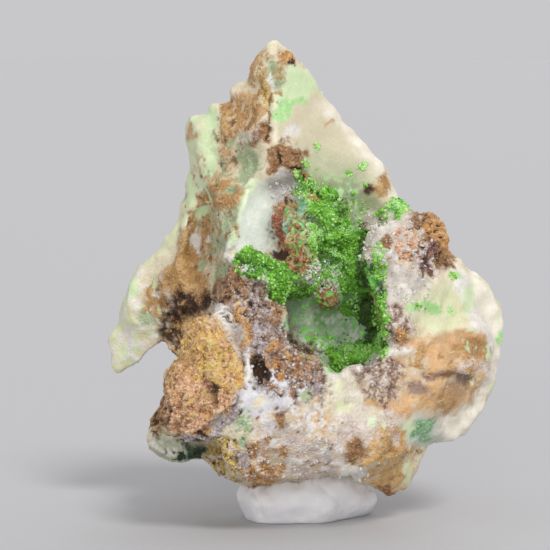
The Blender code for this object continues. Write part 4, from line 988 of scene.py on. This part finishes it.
def rock_material():
    """Rock whose three colours, grain and milkiness come from the values painted on its mesh. Its colour is
    painted darker in pits and sunk places and lighter on grains and raised places: painted shade and light.
    """
    material = bpy.data.materials.new("rock")
    n = Nodes(material)
    place = n.place()
    grit, milk, rise = n.attribute("grit"), n.attribute("milk"), n.attribute("rise")
    coarse = n.noise(place, 1.1, 3.0)
    fine = n.noise(place, 0.26, 4.0, 0.7)
    speck = n.cell(place, 0.3)
    level = n.maths("ADD", n.maths("MULTIPLY", fine, 0.65), n.maths("MULTIPLY", coarse, 0.35))
    # Painted light where the skin stands out, painted shade where it sinks.
    level = n.maths("MULTIPLY_ADD", rise, 0.17, level)
    # Painted shade at the edges of the grain cells, between grains, and painted light on their tops.
    pit_shade = n.maths("MULTIPLY", grit, -0.2)
    level = n.maths("MULTIPLY_ADD", n.maths("SUBTRACT", speck, 0.45), pit_shade, level)
    strength = n.rise(grit, 0.0, 0.9, 0.4, 1.0)
    darkness = n.maths("MULTIPLY", n.rise(level, 0.45, 0.31), n.maths("MULTIPLY", strength, 0.85))
    lightness = n.maths("MULTIPLY", n.rise(level, 0.5, 0.62), strength)
    colour = n.mix(darkness, n.attribute("middle", "Color"), n.attribute("dark", "Color"))
    colour = n.mix(lightness, colour, n.attribute("light", "Color"))
    n.set(Base_Color=colour, Roughness=n.rise(grit, 0.0, 0.7, 0.36, 0.8), IOR=1.5)
    n.set(Subsurface_Weight=n.maths("MULTIPLY", milk, 0.6), Subsurface_Scale=1.4 * MM)
    n.set(Subsurface_Radius=(1.0, 0.95, 0.75))
    height = n.maths("ADD", fine, n.maths("MULTIPLY", speck, -0.9))
    n.bump(height, 0.22, n.rise(grit, 0.0, 0.8, 0.14, 1.0))
    return material


def dress(obj, material, smooth=True):
    """Gives a piece its material, shading, body and material slot."""
    obj.data.materials.clear()
    obj.data.materials.append(material)
    if smooth:
        obj.data.shade_smooth()
    else:
        obj.data.shade_flat()
    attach(obj, "root")
    return obj


def build_rock(chance):
    """The rock, from the CAD node's own form, with finer relief and painted values."""
    rock = fresh_copy("matrix", "matrix_stone")
    refine(rock, SKIN_STEP, SKIN_SMOOTHING)
    skin = Skin(rock.data)
    nudge(skin)
    seen = share_seen(skin)
    grit = paint(skin, seen)[3]
    split_faces(rock, seen * grit > SPLIT_ABOVE)
    skin = Skin(rock.data)
    seen = share_seen(skin)
    layers = paint(skin, seen)
    grit, swell, milk, lift = layers[3:]
    rise = raise_relief(skin, seen, grit, swell, lift)
    # How far the skin stands out: the material paints it lighter there and darker where it sinks, as painted
    # light and shade.
    store_looks(rock.data, layers, (rise - skin.spread(rise, RISE_BLUR)) / RISE_STEP)
    material = rock_material()
    dress(rock, material)
    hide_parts("matrix")
    rough = smooth_step(grit, 0.2, 0.75)
    grow_grains("front_grains", skin, layers, rough * seen, FRONT_GRAINS, material, chance)
    grow_grains("far_grains", skin, layers, rough * (1.0 - seen), FAR_GRAINS, material, chance)
    grow_quartz(skin, seen, milk, chance)
    return skin, seen


class Seats:
    """Places picked at random on a skin, thicker where the weights are high."""

    def __init__(self, skin, weights, count, chance):
        corners = skin.triangles()
        a, b, c = (skin.places[corners[:, k]] for k in range(3))
        areas = np.linalg.norm(np.cross(b - a, c - a), axis=1) * weights[corners].mean(axis=1)
        picks = chance.choice(len(corners), size=count, p=areas / areas.sum())
        u, v = chance.random((2, count))
        fold = u + v > 1.0
        u[fold], v[fold] = 1.0 - u[fold], 1.0 - v[fold]
        self.points = corners[picks, 0]
        self.places = a[picks] + (b - a)[picks] * u[:, None] + (c - a)[picks] * v[:, None]
        self.normals = skin.normals[self.points]


def random_turns(count, chance):
    """Random rotations as an array of 3 by 3 matrices."""
    turns, _ = np.linalg.qr(chance.normal(size=(count, 3, 3)))
    turns[np.linalg.det(turns) < 0, :, 0] *= -1.0
    return turns


def turns_along(directions, chance):
    """Rotations that stand the Z axis along the directions, turned at random about them."""
    z = directions / np.linalg.norm(directions, axis=1)[:, None]
    x = np.cross(z, chance.normal(size=z.shape))
    x /= np.linalg.norm(x, axis=1)[:, None]
    return np.stack([x, np.cross(z, x), z], axis=2)


def ball_template(subdivisions):
    """Corners and triangles of a ball of radius 1."""
    bm = bmesh.new()
    bmesh.ops.create_icosphere(bm, subdivisions=subdivisions, radius=1.0)
    corners = np.array([v.co for v in bm.verts])
    faces = np.array([[v.index for v in f.verts] for f in bm.faces])
    bm.free()
    return corners, faces


def chunk_templates(count, chance):
    """Angular grains: balls whose corners are moved at random."""
    corners, faces = ball_template(1)
    return [(corners * chance.uniform(0.6, 1.2, size=(len(corners), 1)), faces) for _ in range(count)]


def crystal_template():
    """A six-sided crystal of radius 1 with a pointed top, its open foot at -1."""
    angles = np.arange(6) * math.pi / 3
    ring = np.stack([np.cos(angles), np.sin(angles)], axis=1)
    foot = np.column_stack([ring, np.full(6, -1.0)])
    shoulder = np.column_stack([ring * 0.92, np.full(6, 1.2)])
    corners = np.vstack([foot, shoulder, [(0.0, 0.0, 2.3)]])
    faces = []
    for i in range(6):
        j = (i + 1) % 6
        faces += [(i, j, 6 + j), (i, 6 + j, 6 + i), (6 + i, 6 + j, 12)]
    return corners, np.array(faces)


def joined_object(name, templates, places, turns, sizes, values):
    """One mesh of many small shapes, each with its own values for the material."""
    all_corners, all_faces, owners = [], [], []
    first = 0
    for k, (corners, faces) in enumerate(templates):
        mine = np.arange(k, len(places), len(templates))
        scaled = turns[mine] * sizes[mine][:, None, :]
        put = np.einsum("nij,mj->nmi", scaled, corners) + places[mine][:, None, :]
        offsets = first + np.arange(len(mine)) * len(corners)
        all_corners.append(put.reshape(-1, 3))
        all_faces.append((faces[None] + offsets[:, None, None]).reshape(-1, 3))
        owners.append(np.repeat(mine, len(corners)))
        first += len(mine) * len(corners)
    corners, faces, owner = np.vstack(all_corners), np.vstack(all_faces), np.concatenate(owners)
    mesh = bpy.data.meshes.new(name)
    mesh.vertices.add(len(corners))
    mesh.vertices.foreach_set("co", (corners * MM).astype(np.float32).ravel())
    mesh.loops.add(faces.size)
    mesh.loops.foreach_set("vertex_index", faces.astype(np.int32).ravel())
    mesh.polygons.add(len(faces))
    mesh.polygons.foreach_set("loop_start", np.arange(0, faces.size, 3, dtype=np.int32))
    mesh.update(calc_edges=True)
    for key, numbers in values.items():
        set_values(mesh, key, numbers[owner])
    return add_object(name, mesh)


def patch_weights(skin, seen, patches):
    """How thickly small shapes stand on the skin, from patches of the seen side."""
    across, up = in_view(skin.places)
    weights = np.zeros(len(seen))
    for _, centre, radii, thickness in patches:
        inside = smooth_step(from_middle(across, up, centre, radii), 1.15, 0.8)
        weights += thickness * inside * (seen > 0.4)
    return weights


def random_sizes(radii, lean, count, chance):
    """Sizes between two radii; the more they lean, the more of them are small."""
    return radii[0] + (radii[1] - radii[0]) * chance.random(count) ** lean


def grow_grains(name, skin, layers, weights, count_and_radii, material, chance):
    """Loose-looking grains half sunk in the granular rock, coloured like the rock around them."""
    count, radii = count_and_radii
    seats = Seats(skin, weights, count, chance)
    size = random_sizes(radii, 1.6, count, chance)
    sizes = size[:, None] * chance.uniform(0.7, 1.3, size=(count, 3))
    share = chance.random(count)[:, None]
    middle, light = (values[seats.points] for values in layers[1:3])
    tone = middle + (light - middle) * share
    values = {
        "dark": tone * 0.75,
        "middle": tone,
        "light": tone * 0.7 + light * 0.3,
        "grit": np.full(count, 0.45),
        "milk": layers[5][seats.points],
        "rise": np.zeros(count),
    }
    places = seats.places - seats.normals * (size * 0.1)[:, None]
    templates = chunk_templates(5, chance)
    grains = joined_object(name, templates, places, random_turns(count, chance), sizes, values)
    dress(grains, material, smooth=False)


def quartz_material():
    """Clear to milky quartz points."""
    material = bpy.data.materials.new("quartz")
    n = Nodes(material)
    level = n.noise(n.place(), 0.8, 2.0)
    colour = n.mix(n.rise(level, 0.35, 0.65), (0.95, 0.94, 0.91, 1.0), (0.9, 0.86, 0.8, 1.0))
    n.set(Base_Color=colour, Roughness=0.2, IOR=1.54, Transmission_Weight=0.35)
    return material


def grow_quartz(skin, seen, milk, chance):
    """Small quartz points on patches of the seen side and on the milky rock of the far side."""
    weights = patch_weights(skin, seen, QUARTZ_PATCHES)
    weights += FAR_QUARTZ * smooth_step(milk, 0.5, 0.75) * (1.0 - seen)
    seats = Seats(skin, weights, QUARTZ_COUNT, chance)
    directions = seats.normals + chance.normal(scale=0.45, size=seats.normals.shape)
    size = random_sizes(QUARTZ_RADII, 2.5, QUARTZ_COUNT, chance)
    sizes = np.repeat(size[:, None], 3, axis=1)
    places = seats.places + directions * (size * 0.1)[:, None]
    turns = turns_along(directions, chance)
    quartz = joined_object("drusy_quartz", [crystal_template()], places, turns, sizes, {})
    dress(quartz, quartz_material(), smooth=False)


def green_material():
    """Velvety green crystals, lime where they stand out and deep green between: on the bed this is painted
    light and shade.
    """
    material = bpy.data.materials.new("conichalcite")
    n = Nodes(material)
    place = n.place()
    tone = n.maths("SUBTRACT", n.attribute("tone"), 0.3)
    tone = n.maths("MULTIPLY_ADD", n.noise(place, 0.3, 4.0), 0.6, tone)
    colour = GREENS[0]
    for (low, high), lighter in zip(GREEN_TURNS, GREENS[1:]):
        colour = n.mix(n.rise(tone, low, high), colour, lighter)
    n.set(Base_Color=colour, Roughness=0.55, Subsurface_Weight=0.3, Subsurface_Scale=0.5 * MM)
    n.bump(n.cell(place, 0.1), 0.06, 0.9)
    return material


def green_shade(places):
    """How much darker (below zero) or lighter the green is at these places."""
    across, up = in_view(places)
    shade = np.zeros(len(places))
    for _, centre, radii, shift in GREEN_SHADES:
        shade += shift * smooth_step(from_middle(across, up, centre, radii), 1.3, 0.6)
    return shade


def build_crust(rock_skin, seen, chance):
    """The green crystals: a bed drawn down onto the rock, and round clusters on it and beside it."""
    material = green_material()
    bed = fresh_copy("conichalcite_crust", "conichalcite_bed")
    refine(bed, BED_STEP, BED_SMOOTHING)
    skin = Skin(bed.data)
    tree = rock_skin.tree()
    thickness = BED_KEEP * smooth_step(field(skin.places, 1.7, 62), -0.3, 0.05)
    across, up = in_view(skin.places)
    for _, centre, radii in BARE_PATCHES:
        thickness *= smooth_step(from_middle(across, up, centre, radii), 0.8, 1.2)
    for i, place in enumerate(skin.places):
        seat, normal, away = nearest_rock(tree, place)
        keep = thickness[i] * smooth_step(away, BED_SUNK_BELOW, BED_SUNK_BELOW + 0.5)
        skin.places[i] = seat + (place - seat) * keep - normal * BED_SINK * (1.0 - keep)
    skin.write_places()
    bumps, _ = cells(skin.places, BED_BUMPS[0], 12)
    fine_bumps, _ = cells(skin.places, BED_FINE_BUMPS[0], 13)
    height = (0.45 - bumps) * BED_BUMPS[1] + (0.45 - fine_bumps) * BED_FINE_BUMPS[1]
    skin.places += skin.normals * height[:, None]
    skin.write_places()
    # The bed's tone follows its bumps: painted light on their tops and painted shade between them.
    bed_tone = smooth_step(bumps + fine_bumps, 1.3, 0.2) * 0.55 - 0.1
    set_values(bed.data, "tone", bed_tone + green_shade(skin.places))
    dress(bed, material)
    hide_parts("conichalcite_crust")

    above = np.array([nearest_rock(tree, place)[2] for place in skin.places])
    bed_weights = smooth_step(above, 0.05, 0.3)
    rock_weights = patch_weights(rock_skin, seen, GREEN_PATCHES)
    rock_weights *= smooth_step(field(rock_skin.places, 1.1, 60), -0.35, 0.1)
    kinds = [
        ("conichalcite_spherules", [ball_template(2)], BALLS, BALL_RADII, True),
        ("conichalcite_crystals", chunk_templates(7, chance), CRYSTALS, CRYSTAL_RADII, False),
    ]
    for name, templates, numbers, radii, smooth in kinds:
        on_bed = Seats(skin, bed_weights, numbers[0], chance)
        on_rock = Seats(rock_skin, rock_weights, numbers[1], chance)
        places = np.vstack([on_bed.places, on_rock.places])
        normals = np.vstack([on_bed.normals, on_rock.normals])
        count = len(places)
        size = random_sizes(radii, 1.8, count, chance)
        tone = 0.52 + 0.8 * field(places, 1.5, 61) + chance.normal(0.0, 0.2, size=count)
        tone += green_shade(places)
        places = places + normals * (size * 0.3)[:, None]
        sizes = size[:, None] * chance.uniform(0.7, 1.25, size=(count, 3))
        green = joined_object(name, templates, places, random_turns(count, chance), sizes, {"tone": tone})
        dress(green, material, smooth)


def putty_material():
    """Matte white putty."""
    material = bpy.data.materials.new("putty")
    n = Nodes(material)
    place = n.place()
    level = n.noise(place, 2.5, 3.0)
    colour = n.mix(n.rise(level, 0.35, 0.65), (0.86, 0.85, 0.87, 1.0), (0.92, 0.91, 0.92, 1.0))
    n.set(Base_Color=colour, Roughness=0.6)
    n.bump(n.noise(place, 0.6, 4.0), 0.1, 0.5)
    return material


def build_putty(rock_skin):
    """The pad of putty, pressed against the rock, with the folds it was rolled with."""
    pad = fresh_copy("putty_pad", "putty")
    refine(pad, PUTTY_STEP, PUTTY_SMOOTHING)
    skin = Skin(pad.data)
    tree = rock_skin.tree()
    _, _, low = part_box("putty_pad")[0] / MM
    for i, place in enumerate(skin.places):
        seat, normal, away = nearest_rock(tree, place)
        if away < PUTTY_REACH and skin.normals[i][2] > 0.2:
            share = smooth_step(away, PUTTY_REACH, PUTTY_REACH * 0.6)
            skin.places[i] = place + (seat - normal * PUTTY_SINK - place) * share
    skin.write_places()
    across, up = in_view(skin.places)
    height = field(skin.places, 2.2, 30) * 0.22 + field(skin.places, 0.8, 31) * 0.07
    front = smooth_step(skin.normals @ VIEW_BACK, 0.0, 0.4)
    raise_strokes(height, front, across, up, PUTTY_FOLDS)
    above_floor = smooth_step(skin.places[:, 2], 0.1, 0.7)
    skin.places = skin.places + skin.normals * (height * above_floor)[:, None]
    skin.places[:, 2] = np.maximum(skin.places[:, 2], low)
    skin.write_places()
    dress(pad, putty_material())
    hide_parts("putty_pad")


def add_camera():
    """The camera, where the photograph's stood."""
    data = bpy.data.cameras.new("camera")
    data.sensor_width = SENSOR_WIDTH
    data.lens = SENSOR_WIDTH * VIEW_DISTANCE / VIEW_WIDTH
    data.clip_start = 0.01
    camera = add_object("camera", data)
    camera.location = Vector(EYE * MM)
    camera.rotation_euler = Vector(-VIEW_BACK).to_track_quat("-Z", "Y").to_euler()
    bpy.context.scene.camera = camera


def add_sun(name, direction, strength, softness, colour):
    """A soft, even light from that direction."""
    data = bpy.data.lights.new(name, "SUN")
    data.energy = strength
    data.angle = softness
    data.color = colour
    lamp = add_object(name, data)
    lamp.rotation_euler = Vector(direction).to_track_quat("Z", "Y").to_euler()


def add_studio():
    """A plain pale floor, a pale world and soft lamps."""
    half = 3.0
    floor_mesh = bpy.data.meshes.new("floor")
    corners = [(-half, -half, 0.0), (half, -half, 0.0), (half, half, 0.0), (-half, half, 0.0)]
    floor_mesh.from_pydata(corners, [], [(0, 1, 2, 3)])
    floor = add_object("floor", floor_mesh)
    material = bpy.data.materials.new("floor")
    n = Nodes(material)
    n.set(Base_Color=FLOOR_COLOUR, Roughness=0.8, Specular_IOR_Level=0.2)
    floor_mesh.materials.append(material)
    world = bpy.data.worlds.new("world")
    bpy.context.scene.world = world
    world.use_nodes = True
    background = world.node_tree.nodes["Background"]
    background.inputs["Color"].default_value = WORLD_COLOUR
    background.inputs["Strength"].default_value = WORLD_STRENGTH
    for lamp in LAMPS:
        add_sun(*lamp)
    bpy.context.scene.view_settings.view_transform = "Standard"


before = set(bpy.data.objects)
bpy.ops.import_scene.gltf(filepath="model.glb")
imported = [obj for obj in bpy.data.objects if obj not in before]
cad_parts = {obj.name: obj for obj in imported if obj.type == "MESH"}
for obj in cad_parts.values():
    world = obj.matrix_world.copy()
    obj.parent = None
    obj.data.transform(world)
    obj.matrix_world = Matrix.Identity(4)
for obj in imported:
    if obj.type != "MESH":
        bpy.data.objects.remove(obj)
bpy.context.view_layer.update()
add_camera()
add_studio()
chance = np.random.default_rng(SEED)
rock_skin, rock_seen = build_rock(chance)
build_crust(rock_skin, rock_seen, chance)
build_putty(rock_skin)
